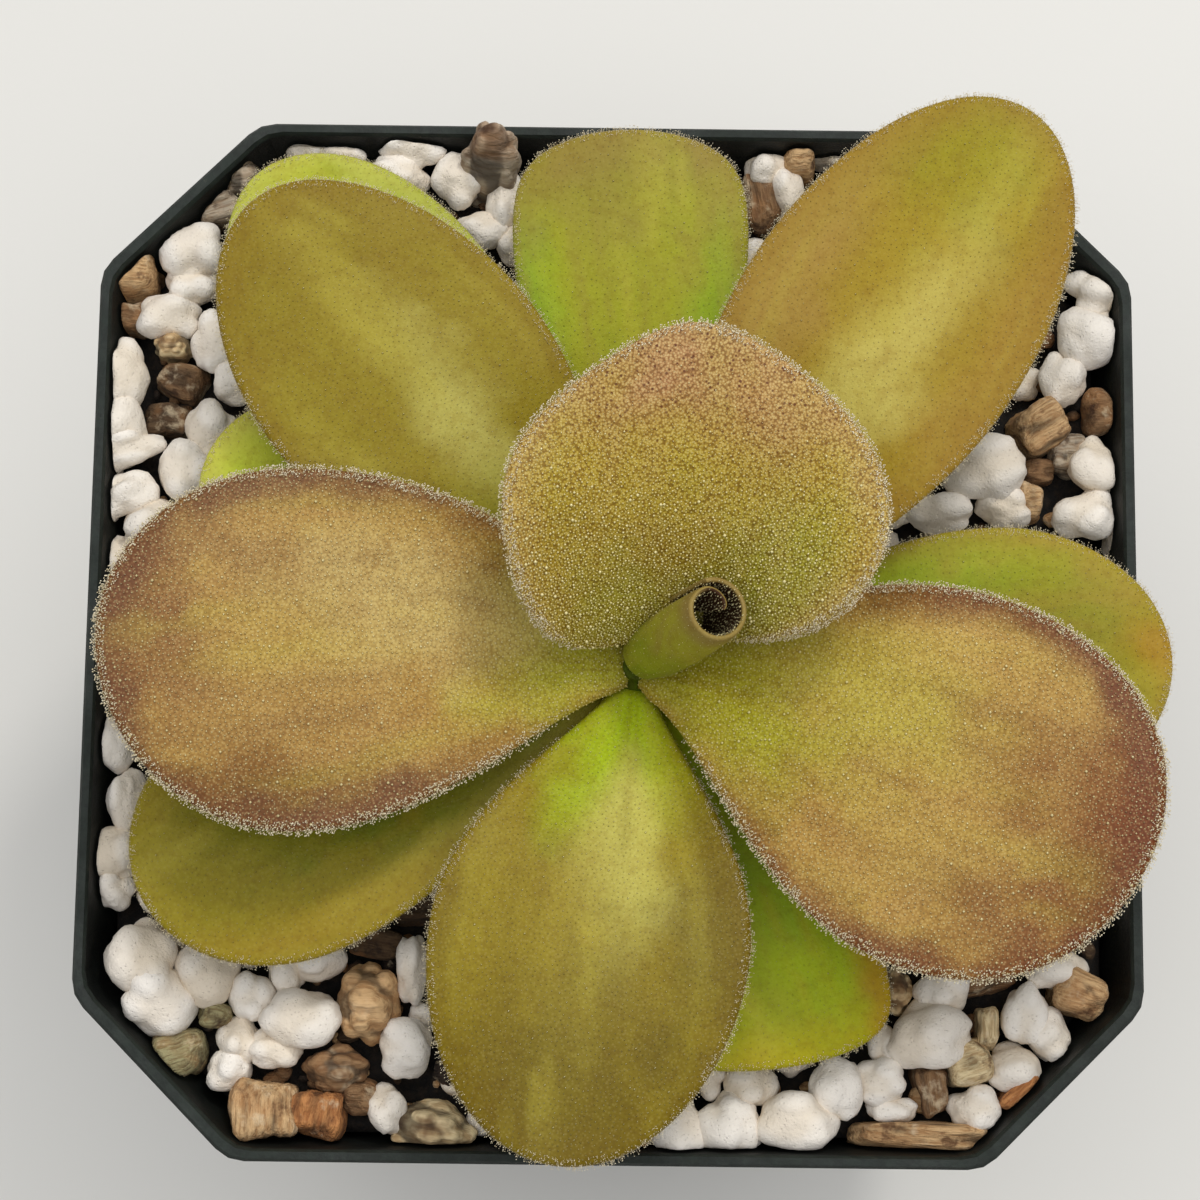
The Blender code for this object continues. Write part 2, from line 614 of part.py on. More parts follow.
def make_bed(home):
    """The potting mix: peat and bark filling the pot, with the bark chips that stand out of it."""
    inner = WALL + GAP + 2 * CLEARING
    rings = [
        ring(BASE_HALF - inner, FLOOR + GAP),
        ring(COLLAR_HALF - COLLAR_STEP[0] - inner, COLLAR_Z - COLLAR_STEP[1]),
        ring(COLLAR_HALF - inner, COLLAR_Z + BED_SHOULDER),
        ring(COLLAR_HALF - inner + LIP, BED_TOP),
    ]
    bed = loft("potting_mix", rings, home)
    hole = cylinder("root_hole", CROWN_X, CROWN_Y, ROOT_BOTTOM - GAP, BED_TOP + TALL_CHIP,
                    CROWN_WIDEST + GAP, home, HOLE_SEGMENTS)
    boolean(bed, "DIFFERENCE", hole)
    group = collection("chips_to_join")
    chips(group, 0.0)
    boolean(bed, "UNION", group=group)
    boolean(bed, "INTERSECT", room_inside_pot(home, -FLOOR))
    bpy.data.collections.remove(group)
    keep_largest(bed)
    return bed


def make_perlite(home):
    """The white grains on top, joined by a thin layer under them and cut clear of the chips."""
    rng = random.Random(SEED)
    layer = loft("perlite", [ring(LAYER_HALF, BED_TOP + GAP), ring(LAYER_HALF, LAYER_TOP)], home)
    group = collection("grains_to_join")
    placed = []
    for grain in PERLITE:
        half_z = (grain.length + grain.width) / 4 + GRAIN_EXTRA
        spot = photo_point(grain.px, grain.py, GRAIN_BOTTOM + half_z * GRAIN_AIM)
        centre = (spot[0], spot[1], GRAIN_BOTTOM + half_z)
        large = max(grain.length, grain.width) > LARGE_GRAIN
        swell = 1.0 if large else SMALL_GRAIN_SWELL
        sizes = (grain.length / 2 * swell, grain.width / 2 * swell, half_z * swell)
        make_grain("grain", centre, sizes, grain.turn, rng, group, 2 if large else 1)
        placed.append((spot[0], spot[1]))
    placed += [tuple(photo_point(chip.px, chip.py, BED_TOP)[:2]) for chip in BARK]
    steps = int(2 * LAYER_HALF / HIDDEN_SPACING)
    for row in range(steps + 1):
        for column in range(steps + 1):
            x = (column - steps / 2) * HIDDEN_SPACING + rng.uniform(-HIDDEN_JITTER, HIDDEN_JITTER)
            y = (row - steps / 2) * HIDDEN_SPACING + rng.uniform(-HIDDEN_JITTER, HIDDEN_JITTER)
            size = rng.uniform(*HIDDEN_SIZE)
            near = min(math.hypot(x - a[0], y - a[1]) for a in placed)
            from_crown = math.hypot(x - CROWN_X, y - CROWN_Y)
            edge = max(abs(x), abs(y), (abs(x) + abs(y)) / (2 - CHAMFER_SHARE))
            if near < HIDDEN_FROM_GRAINS or from_crown < HIDDEN_FROM_CROWN:
                continue
            if edge > LAYER_HALF - HIDDEN_FROM_WALL:
                continue
            centre = (x, y, GRAIN_BOTTOM + size / 2)
            sizes = [size * share for share in HIDDEN_SHAPE]
            make_grain("grain", centre, sizes, 0, rng, group, 1)
    boolean(layer, "UNION", group=group)
    chips(group, GAP + CLEARING)
    boolean(layer, "DIFFERENCE", group=group)
    hole = cylinder("crown_hole", CROWN_X, CROWN_Y, COLLAR_Z, BED_TOP + TALL_CHIP,
                    CROWN_WIDEST + 3 * GAP, home, HOLE_SEGMENTS)
    boolean(layer, "DIFFERENCE", hole)
    boolean(layer, "INTERSECT", room_inside_pot(home, BED_TOP + GAP))
    bpy.data.collections.remove(group)
    keep_largest(layer)
    return layer


def make_crown(home):
    """The short stem that carries the leaves, with a few thin roots under it."""
    outline = [(0.0, CROWN_PROFILE[-1][0])]
    outline += [(radius, z) for z, radius in reversed(CROWN_PROFILE)]
    outline += [(0.0, CROWN_PROFILE[0][0])]
    mesh = bpy.data.meshes.new("crown_and_roots")
    edges = [(index, index + 1) for index in range(len(outline) - 1)]
    mesh.from_pydata([(radius * MM, 0, z * MM) for radius, z in outline], edges, [])
    crown = bpy.data.objects.new("crown_and_roots", mesh)
    home.objects.link(crown)
    turned = crown.modifiers.new("turned", "SCREW")
    turned.steps = CROWN_SEGMENTS
    turned.render_steps = CROWN_SEGMENTS
    turned.use_merge_vertices = True
    turned.merge_threshold = WELD * MM
    apply_modifiers(crown)
    crown.data.transform(Matrix.Translation((CROWN_X * MM, CROWN_Y * MM, 0)))
    rng = random.Random(SEED + 1)
    group = collection("roots_to_join")
    for index in range(ROOT_COUNT):
        angle = index * 2 * math.pi / ROOT_COUNT
        curve = bpy.data.curves.new("root", "CURVE")
        curve.dimensions = "3D"
        curve.bevel_depth = ROOT_RADIUS * MM
        curve.bevel_resolution = 1
        curve.use_fill_caps = True
        curve.resolution_u = 2
        line = curve.splines.new("BEZIER")
        line.bezier_points.add(2)
        bottom = ROOT_BOTTOM + ROOT_RADIUS + rng.uniform(*ROOT_UNEVEN)
        course = (ROOT_START, ROOT_BEND, (ROOT_SPREAD, bottom))
        for point, (out, z) in zip(line.bezier_points, course):
            point.co = ((CROWN_X + out * math.cos(angle)) * MM,
                        (CROWN_Y + out * math.sin(angle)) * MM, z * MM)
            point.handle_left_type = "AUTO"
            point.handle_right_type = "AUTO"
        thing = bpy.data.objects.new("root", curve)
        group.objects.link(thing)
        apply_curve(thing, group)
    boolean(crown, "UNION", group=group)
    bpy.data.collections.remove(group)
    return crown


def apply_curve(thing, home):
    """Replace a bevelled curve by the mesh it makes."""
    graph = bpy.context.evaluated_depsgraph_get()
    graph.update()
    mesh = bpy.data.meshes.new_from_object(thing.evaluated_get(graph))
    made = bpy.data.objects.new("root_mesh", mesh)
    bpy.data.objects.remove(thing, do_unlink=True)
    home.objects.link(made)


def build():
    """Clear the scene and make every part."""
    for thing in list(bpy.data.objects):
        bpy.data.objects.remove(thing, do_unlink=True)
    parts = collection("butterwort")
    made = [
        (make_pot(parts), POT_COLOUR, 0.55),
        (make_bed(parts), MIX_COLOUR, 0.9),
        (make_perlite(parts), PERLITE_COLOUR, 0.85),
        (make_crown(parts), CROWN_COLOUR, 0.6),
    ]
    for name, leaf in LEAVES.items():
        made.append((make_leaf(name, leaf, parts), leaf["colour"], 0.45))
    made.append((make_roll("young_leaf_rolled", parts), ROLL_COLOUR, 0.45))
    for thing, colour, roughness in made:
        thing.data.materials.clear()
        thing.data.materials.append(material(thing.name, colour, roughness))


build()
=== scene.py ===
"""Looks for the butterwort in its square nursery pot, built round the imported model.

Lengths in the tables are millimetres, colours are display values from 0 to 255 and +Y points to
the top of the photograph.
"""
import itertools
import math
from collections import namedtuple

import bmesh
import bpy
import numpy as np
from mathutils import Matrix, Vector


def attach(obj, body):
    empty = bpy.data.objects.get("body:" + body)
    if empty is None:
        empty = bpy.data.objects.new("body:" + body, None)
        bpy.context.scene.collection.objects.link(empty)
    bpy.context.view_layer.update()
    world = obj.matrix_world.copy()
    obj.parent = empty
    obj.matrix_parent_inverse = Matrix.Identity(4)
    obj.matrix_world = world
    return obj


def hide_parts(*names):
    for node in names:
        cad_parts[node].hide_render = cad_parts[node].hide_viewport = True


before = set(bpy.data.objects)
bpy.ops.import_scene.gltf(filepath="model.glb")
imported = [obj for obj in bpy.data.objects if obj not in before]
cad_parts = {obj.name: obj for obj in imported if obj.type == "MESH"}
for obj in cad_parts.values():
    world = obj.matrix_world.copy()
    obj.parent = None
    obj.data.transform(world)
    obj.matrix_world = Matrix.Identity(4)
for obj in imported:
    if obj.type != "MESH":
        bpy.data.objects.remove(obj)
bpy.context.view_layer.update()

MM = 0.001
SEED = 7

# the photograph's camera, found from the pot's rim
CAMERA_TILT = 10.0
CAMERA_ROLL = 0.70
CAMERA_DISTANCE = 225.0
CAMERA_TARGET = (-0.9, 2.26, 64.0)
FOCAL_PIXELS = 3110.0
IMAGE_PIXELS = 1200
SENSOR = 36.0

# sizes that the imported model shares
POT_HEIGHT = 64.0
RIM_HALF = 38.0
COLLAR_HALF = 36.7
COLLAR_Z = 54.6
COLLAR_STEP = 1.4
BASE_HALF = 27.5
CHAMFER_SHARE = 0.30
WALL = 0.9
WALL_CLEAR = 0.2
FLOOR = 1.2
GAP = 0.35
BED_TOP = 58.6
GRAIN_BOTTOM = 59.2
GRAIN_EXTRA = 0.3
GRAIN_AIM = 1.3
GRAIN_SWELL = 1.17
CHIP_ROOT = 1.2
CHIP_AIM = 0.7
CHIP_SWELL = 1.04
TALL_CHIP = 8.0
TALL_CHIP_LEAN = -18.0
TALL_CHIP_SHIFT = 0.6
CROWN_X = 1.8
CROWN_Y = -3.2
CROWN_PROFILE = ((44.0, 1.2), (50.0, 3.2), (55.0, 4.0), (60.0, 4.0), (64.0, 3.2), (66.0, 2.2),
                 (67.5, 1.1), (68.3, 1.0))

# relief: the height of each layer of noise, the size of its lumps and its seed
LEAF_WAVES = ((0.16, 6.0, 3), (0.07, 2.2, 4))
TINT_WANDER = ((0.6, 3.4, 11), (0.4, 1.4, 12))
GRAIN_RELIEF = ((0.10, 0.6, 0), (0.05, 0.2, 0))
CHIP_CRUMBS = ((0.6, 0.8, 0), (0.4, 0.3, 0))
PEAT_RELIEF = ((0.7, 2.4, 5), (0.5, 0.9, 6))

# grains are clusters of balls, and so are knobbly chips; the others are worn or broken blocks
GRAIN_LOBES = (8, 13)
GRAIN_LOBE_SIZE = 0.50
GRAIN_CREASES = 16
CHIP_LOBES = 40
CHIP_LOBE_SIZE = 0.30
CHIP_CREASES = 22
CHIP_LEAN = 6
CHIP_TAPER = 0.22
CHIP_DENTS = 0.17
WORN_POWER = (2.6, 3.4)
BROKEN_POWER = (4.0, 6.0)

# grains and crumbs that fill in between those of the photograph
FILL_TRIES = 4000
FILL_SIZE = (1.1, 2.1)
FILL_OVERLAP = 0.80
FILL_FROM_WALL = 0.8
FILL_FROM_CROWN = 6.5
CRUMB_TRIES = 650
CRUMB_SIZE = (0.3, 1.15)
CRUMB_FROM_WALL = 1.0
CRUMB_FROM_CROWN = 4.6

# leaf blades
LEAF_EDGE = 0.70
LEAF_MIDDLE = 1.35
LEAF_ROUNDING = 0.40
NECK = 2.0
FOOT_NARROWING = 0.7
BASE_REACH = 1.3
MIDRIB_STEPS = 160
BLADE_ROWS = (30, 20)
BLADE_COLUMNS = 40

# gland drops and margin hairs
GLAND_RADIUS = (0.045, 0.095)
GLAND_VARIES = (0.75, 1.15)
GLAND_LIFT = 0.7
SPOT_TRIES = 3.2
SPARKLE_SHARE = 0.03
SPARKLE_SWELL = 1.5
SPARKLE_TONE = 1.3
ROLL_OUTER_GLANDS = 0.42
FRINGE_SPACING = 0.082
FRINGE_FULL = 0.050
FRINGE_LENGTH = (0.14, 0.40)
FRINGE_DEPTH = 0.65
FRINGE_TRIES = 2.4
FRINGE_FROM = (0.08, 0.26)
FRINGE_TILT = (-15, 75)
FRINGE_TILT_SPREAD = 14
FRINGE_LEAN = 0.22
HEAD_VARIES = (0.8, 1.4)
HAIR_RADIUS = 0.020
HAIR_HEAD = (0.042, 0.062)

# the youngest leaf, still rolled up
ROLL_FOOT = (2.3, -2.5, 69.4)
ROLL_MOUTH = (6.9, -1.4, 82.0)
ROLL_RADIUS = ((0.0, 1.75), (0.20, 2.15), (0.50, 2.30), (0.90, 2.14), (1.0, 2.02))
ROLL_START = 112.0
ROLL_TURNS = (1.02, 1.32)
ROLL_OPENING = 0.50
ROLL_WIND = ((0.0, 1.0), (0.60, 0.97), (0.85, 0.88), (1.0, 0.74), (1.12, 0.50), (1.32, 0.22))
ROLL_WALL = 0.36
ROLL_ROWS = 48
ROLL_COLUMNS = 120

# the table top, the softened edges of the pot and the light
FLOOR_REACH = 1.6
FLOOR_CELLS = 40
POT_BEVEL = 0.22
BEVEL_ANGLE = 30
SURROUNDINGS = (236, 238, 242)
SURROUNDINGS_STRENGTH = 0.44

# the peat between the grains
PEAT_RINGS = 56
PEAT_SWELL = 0.4
PEAT_DIP = 0.8

# painted highlight: the pale stripe down the middle of the front leaf, where its channel faces up
PALE_HIGHLIGHT = (190, 182, 88)
GREEN = (116, 138, 22)
BRIGHT_GREEN = (126, 176, 4)
LIME = (176, 184, 48)
ORANGE = (166, 122, 20)
PALE_VEIN = (184, 172, 64)
PALE_FOOT = (226, 210, 150)
# painted shade between the gland feet
GLAND_GAP_SHADE = (158, 124, 80)
UNDERSIDE = (146, 150, 70)
# painted highlight on the clear gland drops
DROP_HIGHLIGHT = (240, 228, 170)
# painted shade inside the rolled leaf
ROLL_INSIDE_SHADE = (66, 42, 26)
PEAT = (44, 32, 22)

# An oval of colour on a leaf: along from 0 at the base to 1 at the tip, across from -1 at the
# right margin to 1 at the left one, how far it reaches each way, and its strength.
Patch = namedtuple("Patch", "along across reach_along reach_across colour strength")

# A leaf stands at height z and grows towards az, counted in degrees from +X; bend is its turn on
# the way, seat and out move its foot round and off the crown. widest is where along it is widest,
# fill how each side rises to that, square and skew reshape the tip and the left side, pitch is its
# rise and cup its curl in degrees, at the base and at the tip. glands is their spacing, speckle and
# dots how strong these are. This is what holds where a leaf's own row doesn't say otherwise.
PLAIN_LEAF = dict(bend=0, seat=0, out=0, skew=0, square=0, fill=(1.2, 1.2), margin_strength=0.5,
                  speckle=0.25, dots=0)

LEAVES = {
    "leaf_back_left_lowest": dict(
        az=126, bend=2, z=62.4, length=42.8, width=18.5, widest=0.66, pitch=(12, -5), cup=(25, -12),
        base=(152, 164, 40), margin=(190, 188, 90), glands=0.4,
        patches=(
            (0.95, 0.1, 0.35, 1.2, LIME, 0.9),)),
    "leaf_left_lowest": dict(
        az=153, seat=4, z=64.0, length=31, width=18, widest=0.62, pitch=(16, 0), cup=(20, -12),
        base=(188, 202, 50), margin=(196, 184, 90), glands=0.4,
        patches=(
            (0.75, -0.8, 0.4, 0.6, (172, 160, 54), 0.6), (0.7, 0.5, 0.4, 0.5, (150, 178, 26), 0.5))),
    "leaf_back_low": dict(
        az=91.5, z=64.6, length=36, width=17, widest=0.8, square=0.35, fill=(1.5, 1.5), pitch=(18, 0),
        cup=(35, -15), base=(152, 154, 28), margin=(146, 124, 56), margin_strength=0.45, glands=0.36,
        patches=(
            (0.55, 0.95, 0.34, 0.45, BRIGHT_GREEN, 0.95), (0.5, -0.85, 0.34, 0.45, BRIGHT_GREEN, 0.75),
            (0.25, 0.0, 0.3, 1.2, GREEN, 0.8), (1.0, 0.1, 0.3, 1.3, (138, 120, 52), 0.8))),
    "leaf_front_left_low": dict(
        az=205.5, z=65.25, length=35.5, width=19, widest=0.68, pitch=(14, 0), cup=(30, -15),
        base=(128, 116, 16), margin=(146, 130, 34), glands=0.36, speckle=0.3,
        patches=(
            (0.3, -0.2, 0.55, 1.1, (94, 110, 14), 0.9), (0.75, 0.9, 0.5, 0.4, (156, 126, 34), 0.6))),
    "leaf_front_right_low": dict(
        az=-60, bend=-22, z=63.8, length=26.5, width=17, widest=0.78, square=0.5, pitch=(14, -4),
        cup=(30, -12), base=(156, 174, 14), margin=(176, 150, 26), glands=0.38,
        patches=(
            (0.35, 0.4, 0.5, 0.9, (134, 160, 26), 0.8), (0.8, 0.95, 0.4, 0.28, ORANGE, 0.9),
            (0.9, -0.3, 0.3, 0.8, (142, 140, 16), 0.6))),
    "leaf_right_low": dict(
        az=1, z=65.1, length=34.9, width=19.5, widest=0.66, pitch=(14, -2), cup=(30, -12),
        base=(146, 146, 24), margin=(164, 132, 50), glands=0.36,
        patches=(
            (0.45, 0.5, 0.35, 0.7, (136, 170, 8), 0.7), (0.8, 0.2, 0.3, 0.7, (138, 130, 30), 0.8),
            (0.98, 0.1, 0.1, 0.5, ORANGE, 0.8), (0.8, -0.8, 0.3, 0.5, (150, 146, 34), 0.7))),
    "leaf_front": dict(
        az=-99, z=66.55, length=34, width=22, widest=0.55, pitch=(28, -2), cup=(30, -22),
        base=(142, 124, 24), margin=(112, 92, 14), margin_strength=0.6, glands=0.29, speckle=0.4,
        patches=(
            (0.06, 0.0, 0.3, 1.4, (160, 182, 24), 0.95), (0.5, 0.85, 0.45, 0.5, (110, 94, 10), 0.9),
            # painted highlight stripe down the middle
            (0.36, 0.15, 0.3, 0.4, PALE_HIGHLIGHT, 0.9), (0.62, -0.1, 0.3, 0.35, (162, 146, 44), 0.6),
            (1.05, 0.1, 0.6, 1.5, (100, 84, 10), 0.75))),
    "leaf_back_left": dict(
        az=121.5, bend=20, seat=18, z=65.95, length=40.5, width=20.5, skew=0.06, widest=0.6,
        pitch=(22, 4), cup=(30, -14), base=(142, 126, 30), margin=(132, 108, 24), margin_strength=0.6,
        glands=0.31, speckle=0.3,
        patches=(
            (0.95, 0.0, 0.3, 1.3, (132, 112, 26), 0.7), (0.46, -0.1, 0.32, 0.4, (186, 178, 92), 0.8),
            (0.72, 0.0, 0.22, 0.3, (164, 150, 52), 0.6), (0.1, 0.0, 0.3, 1.2, (136, 140, 30), 0.8))),
    "leaf_back_right": dict(
        az=53, bend=4, seat=-3, z=66.8, length=46, width=20.5, widest=0.6, pitch=(25, 4), cup=(30, -14),
        base=(160, 136, 36), margin=(146, 114, 38), margin_strength=0.6, glands=0.31,
        patches=(
            (0.5, 0.75, 0.5, 0.45, (162, 128, 64), 0.7), (0.6, -0.85, 0.4, 0.35, (158, 120, 50), 0.6),
            (0.52, -0.2, 0.42, 0.38, (194, 180, 90), 0.9), (0.98, 0.2, 0.3, 0.9, (138, 136, 8), 0.6),
            (0.1, 0.0, 0.3, 1.2, (150, 142, 34), 0.7))),
    "leaf_left": dict(
        az=178, bend=8, z=67.7, length=37, width=25, skew=0.02, widest=0.64, fill=(0.65, 1.2),
        pitch=(30, 8), cup=(35, -18), base=(172, 136, 68), margin=(110, 68, 38), margin_strength=0.9,
        glands=0.25, speckle=0.7,
        patches=(
            (0.02, 0.0, 0.34, 1.4, (172, 170, 46), 0.95),
            (0.42, -0.25, 0.34, 0.6, (198, 174, 106), 0.85),
            (0.66, -0.05, 0.24, 0.35, (178, 150, 66), 0.5),
            (0.72, 0.85, 0.4, 0.42, (122, 78, 30), 0.85), (0.97, -0.2, 0.24, 1.0, (128, 82, 44), 0.75))),
    "leaf_right": dict(
        az=-20, bend=-10, z=68.2, length=37.2, width=26, widest=0.62, square=0.1, fill=(1.3, 0.95),
        pitch=(28, 8), cup=(28, -14), base=(174, 138, 68), margin=(110, 58, 28), margin_strength=0.9,
        glands=0.25, speckle=0.7,
        patches=(
            (0.1, 0.0, 0.42, 1.4, (162, 158, 34), 0.95), (0.42, 0.35, 0.28, 0.5, (184, 168, 66), 0.8),
            (0.62, -0.35, 0.28, 0.4, (184, 156, 72), 0.6), (0.48, 0.8, 0.24, 0.35, (196, 160, 88), 0.6),
            (1.0, -0.1, 0.32, 1.3, (118, 60, 24), 0.9))),
    "leaf_cupped": dict(
        az=82.5, bend=7.5, z=70.4, out=0.9, seat=-48, length=26.6, width=26.2, skew=-0.04, widest=0.52,
        fill=(1.4, 0.5), square=-0.38, pitch=(74, 15), cup=(97, -45), base=(178, 152, 48),
        margin=(190, 158, 92), glands=0.215, speckle=1.0, dots=0.85,
        patches=(
            (1.06, 0.0, 0.44, 1.6, (186, 138, 96), 1.0), (0.15, 0.0, 0.3, 1.2, (174, 170, 50), 0.8),
            (0.35, -0.55, 0.3, 0.5, (160, 164, 44), 0.6), (0.62, 0.1, 0.2, 0.6, (196, 174, 58), 0.6))),
}

ROLL_LOOK = dict(PLAIN_LEAF, base=(160, 156, 50), margin=(142, 116, 70), margin_strength=0.8,
                 glands=0.22, speckle=0.3, patches=((0.1, 0.0, 0.6, 4.0, (138, 152, 32), 0.9),))

# Grains and chips that the photograph shows. px and py are the pixel of the centre, read off it;
# length across the picture, width up the picture and height above the mix are in millimetres.
Grain = namedtuple("Grain", "px py length width turn", defaults=(0,))
Chip = namedtuple("Chip", "px py length width turn height colour kind")

PERLITE = (
    # back left
    (190, 252, 4.4, 4.1), (192, 284, 3.6, 2.9), (122, 372, 3.4, 4.8, 8), (120, 422, 3.2, 4.8, 8),
    (214, 342, 3.1, 4.1), (236, 380, 2.9, 3.2), (213, 430, 3.5, 4.4, 20), (186, 470, 3.8, 4.1),
    (124, 494, 4.5, 2.9, 10), (156, 528, 5.1, 4.4, 30), (168, 314, 4.1, 3.1),
    (128, 448, 4.8, 2.5, 10), (303, 143, 3.1, 2.9), (343, 157, 3.1, 2.5), (398, 174, 4.2, 3.2),
    # back
    (412, 146, 4.4, 3.4), (458, 180, 3.5, 3.9), (481, 228, 3.5, 2.8), (505, 198, 2.5, 4.4),
    (516, 242, 2.6, 2.9), (770, 166, 3.2, 3.2), (790, 196, 2.5, 3.6), (832, 152, 2.5, 1.8, 20),
    # back right and right
    (1098, 288, 4.4, 3.8), (1090, 334, 4.1, 4.4), (1063, 378, 3.2, 3.6), (985, 470, 5.3, 4.5, 20),
    (1004, 506, 3.6, 2.9), (1096, 464, 3.5, 3.9), (1088, 512, 4.4, 3.4), (1126, 534, 2.3, 2.2),
    (940, 512, 4.4, 2.5),
    # left
    (118, 556, 2.9, 2.9), (114, 745, 2.6, 3.6), (126, 800, 2.5, 4.2), (110, 852, 3.1, 3.4),
    (116, 888, 2.3, 2.8),
    # front left
    (140, 955, 4.5, 4.8), (158, 1000, 4.8, 4.4), (206, 974, 4.1, 4.2), (252, 996, 3.1, 3.1),
    (285, 968, 2.6, 3.6), (316, 958, 3.8, 2.9), (300, 1018, 5.1, 3.9, 10), (276, 1046, 3.4, 2.8),
    (237, 1040, 2.8, 3.1), (228, 1070, 2.8, 2.6), (405, 1048, 3.2, 3.8), (412, 970, 2.0, 4.4),
    (387, 1108, 2.5, 3.2),
    # front
    (678, 1122, 3.5, 5.1), (728, 1122, 4.2, 4.2), (752, 1083, 3.5, 3.2), (706, 1078, 2.6, 2.8),
    (798, 1122, 5.3, 3.8), (838, 1088, 3.6, 4.1), (745, 1050, 4.4, 2.9), (560, 1120, 4.4, 3.6),
    # front right
    (881, 1082, 3.1, 3.2), (892, 1108, 3.2, 1.8), (930, 1032, 5.3, 4.5), (942, 990, 3.5, 3.1),
    (1026, 1012, 3.1, 3.9), (1050, 1034, 2.8, 3.4), (1016, 1066, 3.5, 3.2), (974, 1108, 3.4, 2.9),
    (1056, 966, 4.4, 2.8), (884, 1044, 2.0, 2.9),
)

TAN = (192, 158, 114)
CREAM = (212, 192, 150)
BROWN = (128, 98, 66)
DARK = (84, 64, 42)
GREY = (168, 154, 134)
RUST = (176, 120, 70)
MOSS = (146, 138, 100)

# how a chip has broken: fibres along its length or across it, a knobbly crust, or a worn lump
ALONG, ACROSS, KNOBBLY, WORN = range(4)

BARK = (
    # back left
    (238, 172, 3.4, 3.8, 10, 5.0, GREY, KNOBBLY),
    (218, 207, 3.4, 2.3, 20, 4.2, GREY, ALONG),
    (134, 274, 3.1, 3.5, 0, 5.0, TAN, WORN),
    (132, 316, 2.3, 2.3, 0, 3.6, BROWN, WORN),
    (172, 343, 2.9, 2.3, 0, 4.8, CREAM, KNOBBLY),
    (180, 378, 3.6, 2.8, -20, 3.6, BROWN, ALONG),
    (168, 418, 3.4, 2.5, 0, 2.6, DARK, ALONG),
    # back
    (490, 148, 4.3, 3.2, -10, 9.2, GREY, KNOBBLY),
    (799, 158, 2.5, 2.6, 0, 4.6, TAN, WORN),
    (764, 200, 2.8, 4.5, 10, 3.4, BROWN, ACROSS),
    # back right and right
    (1100, 410, 2.5, 3.5, 0, 4.2, BROWN, WORN),
    (1040, 425, 3.8, 3.6, 30, 4.8, TAN, ALONG),
    (1068, 452, 2.6, 3.1, 0, 3.4, GREY, ALONG),
    (1038, 470, 2.5, 2.0, 0, 2.8, BROWN, ALONG),
    (1030, 500, 2.0, 2.8, 0, 4.0, TAN, WORN),
    # front left
    (179, 1052, 3.8, 3.6, 20, 4.6, MOSS, WORN),
    (214, 1014, 2.5, 1.9, 0, 4.0, MOSS, WORN),
    (262, 1108, 4.8, 4.2, 0, 4.8, TAN, ACROSS),
    (314, 1114, 4.4, 3.4, -12, 4.2, RUST, ACROSS),
    (334, 1068, 4.7, 3.4, 0, 4.6, BROWN, KNOBBLY),
    (360, 1096, 2.6, 2.6, 0, 3.4, BROWN, WORN),
    (368, 1002, 4.4, 5.7, 0, 5.6, TAN, KNOBBLY),
    (376, 942, 4.1, 2.2, -10, 2.8, DARK, ALONG),
    (432, 1126, 6.4, 3.9, -8, 4.6, CREAM, KNOBBLY),
    (416, 904, 3.2, 2.9, 0, 2.6, DARK, ALONG),
    # front
    (628, 1150, 2.9, 1.8, 20, 3.6, RUST, WORN),
    # front right
    (1080, 993, 4.1, 3.4, -20, 4.8, TAN, WORN),
    (984, 980, 4.5, 2.0, 10, 3.0, BROWN, ALONG),
    (968, 1064, 3.4, 3.2, 20, 4.6, CREAM, WORN),
    (988, 1028, 1.6, 2.9, 0, 4.4, CREAM, ACROSS),
    (1025, 1096, 3.5, 3.2, 40, 4.0, RUST, ALONG),
    (934, 1090, 2.5, 3.4, 10, 3.6, BROWN, ACROSS),
    (928, 1137, 10.7, 2.2, -2, 4.4, TAN, ALONG),
    (897, 990, 2.2, 3.5, 0, 3.8, CREAM, KNOBBLY),
)


def linear(colour):
    """A display colour from 0 to 255 as linear light, with full opacity."""
    shares = np.asarray(colour, float) / 255
    light = np.where(shares <= 0.04045, shares / 12.92, ((shares + 0.055) / 1.055) ** 2.4)
    return np.append(light, 1.0)


def between(first, second, share):
    """first where share is 0, second where it is 1."""
    return first + (second - first) * share


def eased(share):
    """A share from 0 to 1 that starts and ends slowly."""
    return share * share * (3 - 2 * share)


def smooth(value, low, high):
    """0 up to low, 1 from high on; with low above high it falls instead."""
    return eased(np.clip((value - low) / (high - low), 0, 1))


def unit(vectors):
    """Vectors made one long."""
    return vectors / np.maximum(np.linalg.norm(vectors, axis=-1, keepdims=True), 1e-9)


def along_table(table, value):
    """Values read off a table of places and values."""
    return np.interp(value, *zip(*table))


def crowded(count):
    """Numbers from -1 to 1 that crowd towards both ends."""
    return np.sin(np.linspace(-1, 1, count) * math.pi / 2)


def lattice(cell, seed):
    """A repeatable number from 0 to 1 for each whole-number point."""
    x, y, z = np.moveaxis(cell * (73856093, 19349663, 83492791), -1, 0)
    mixed = (x ^ y ^ z ^ (seed * 97531)) & 0xFFFFFFFF
    mixed = ((mixed ^ (mixed >> 13)) * 1274126177) & 0xFFFFFFFF
    return ((mixed ^ (mixed >> 16)) & 0xFFFF) / 65535.0


def noise(points, size, seed=0):
    """Smooth noise from -1 to 1 whose lumps are about size across."""
    scaled = np.asarray(points, float) / size
    low = np.floor(scaled).astype(np.int64)
    part = eased(scaled - low)
    total = 0.0
    for corner in np.ndindex(2, 2, 2):
        weight = np.prod(np.where(corner, part, 1 - part), axis=-1)
        total = total + weight * lattice(low + corner, seed)
    return total * 2 - 1


def relief(points, layers):
    """Layers of noise added up."""
    return sum(height * noise(points, size, seed) for height, size, seed in layers)


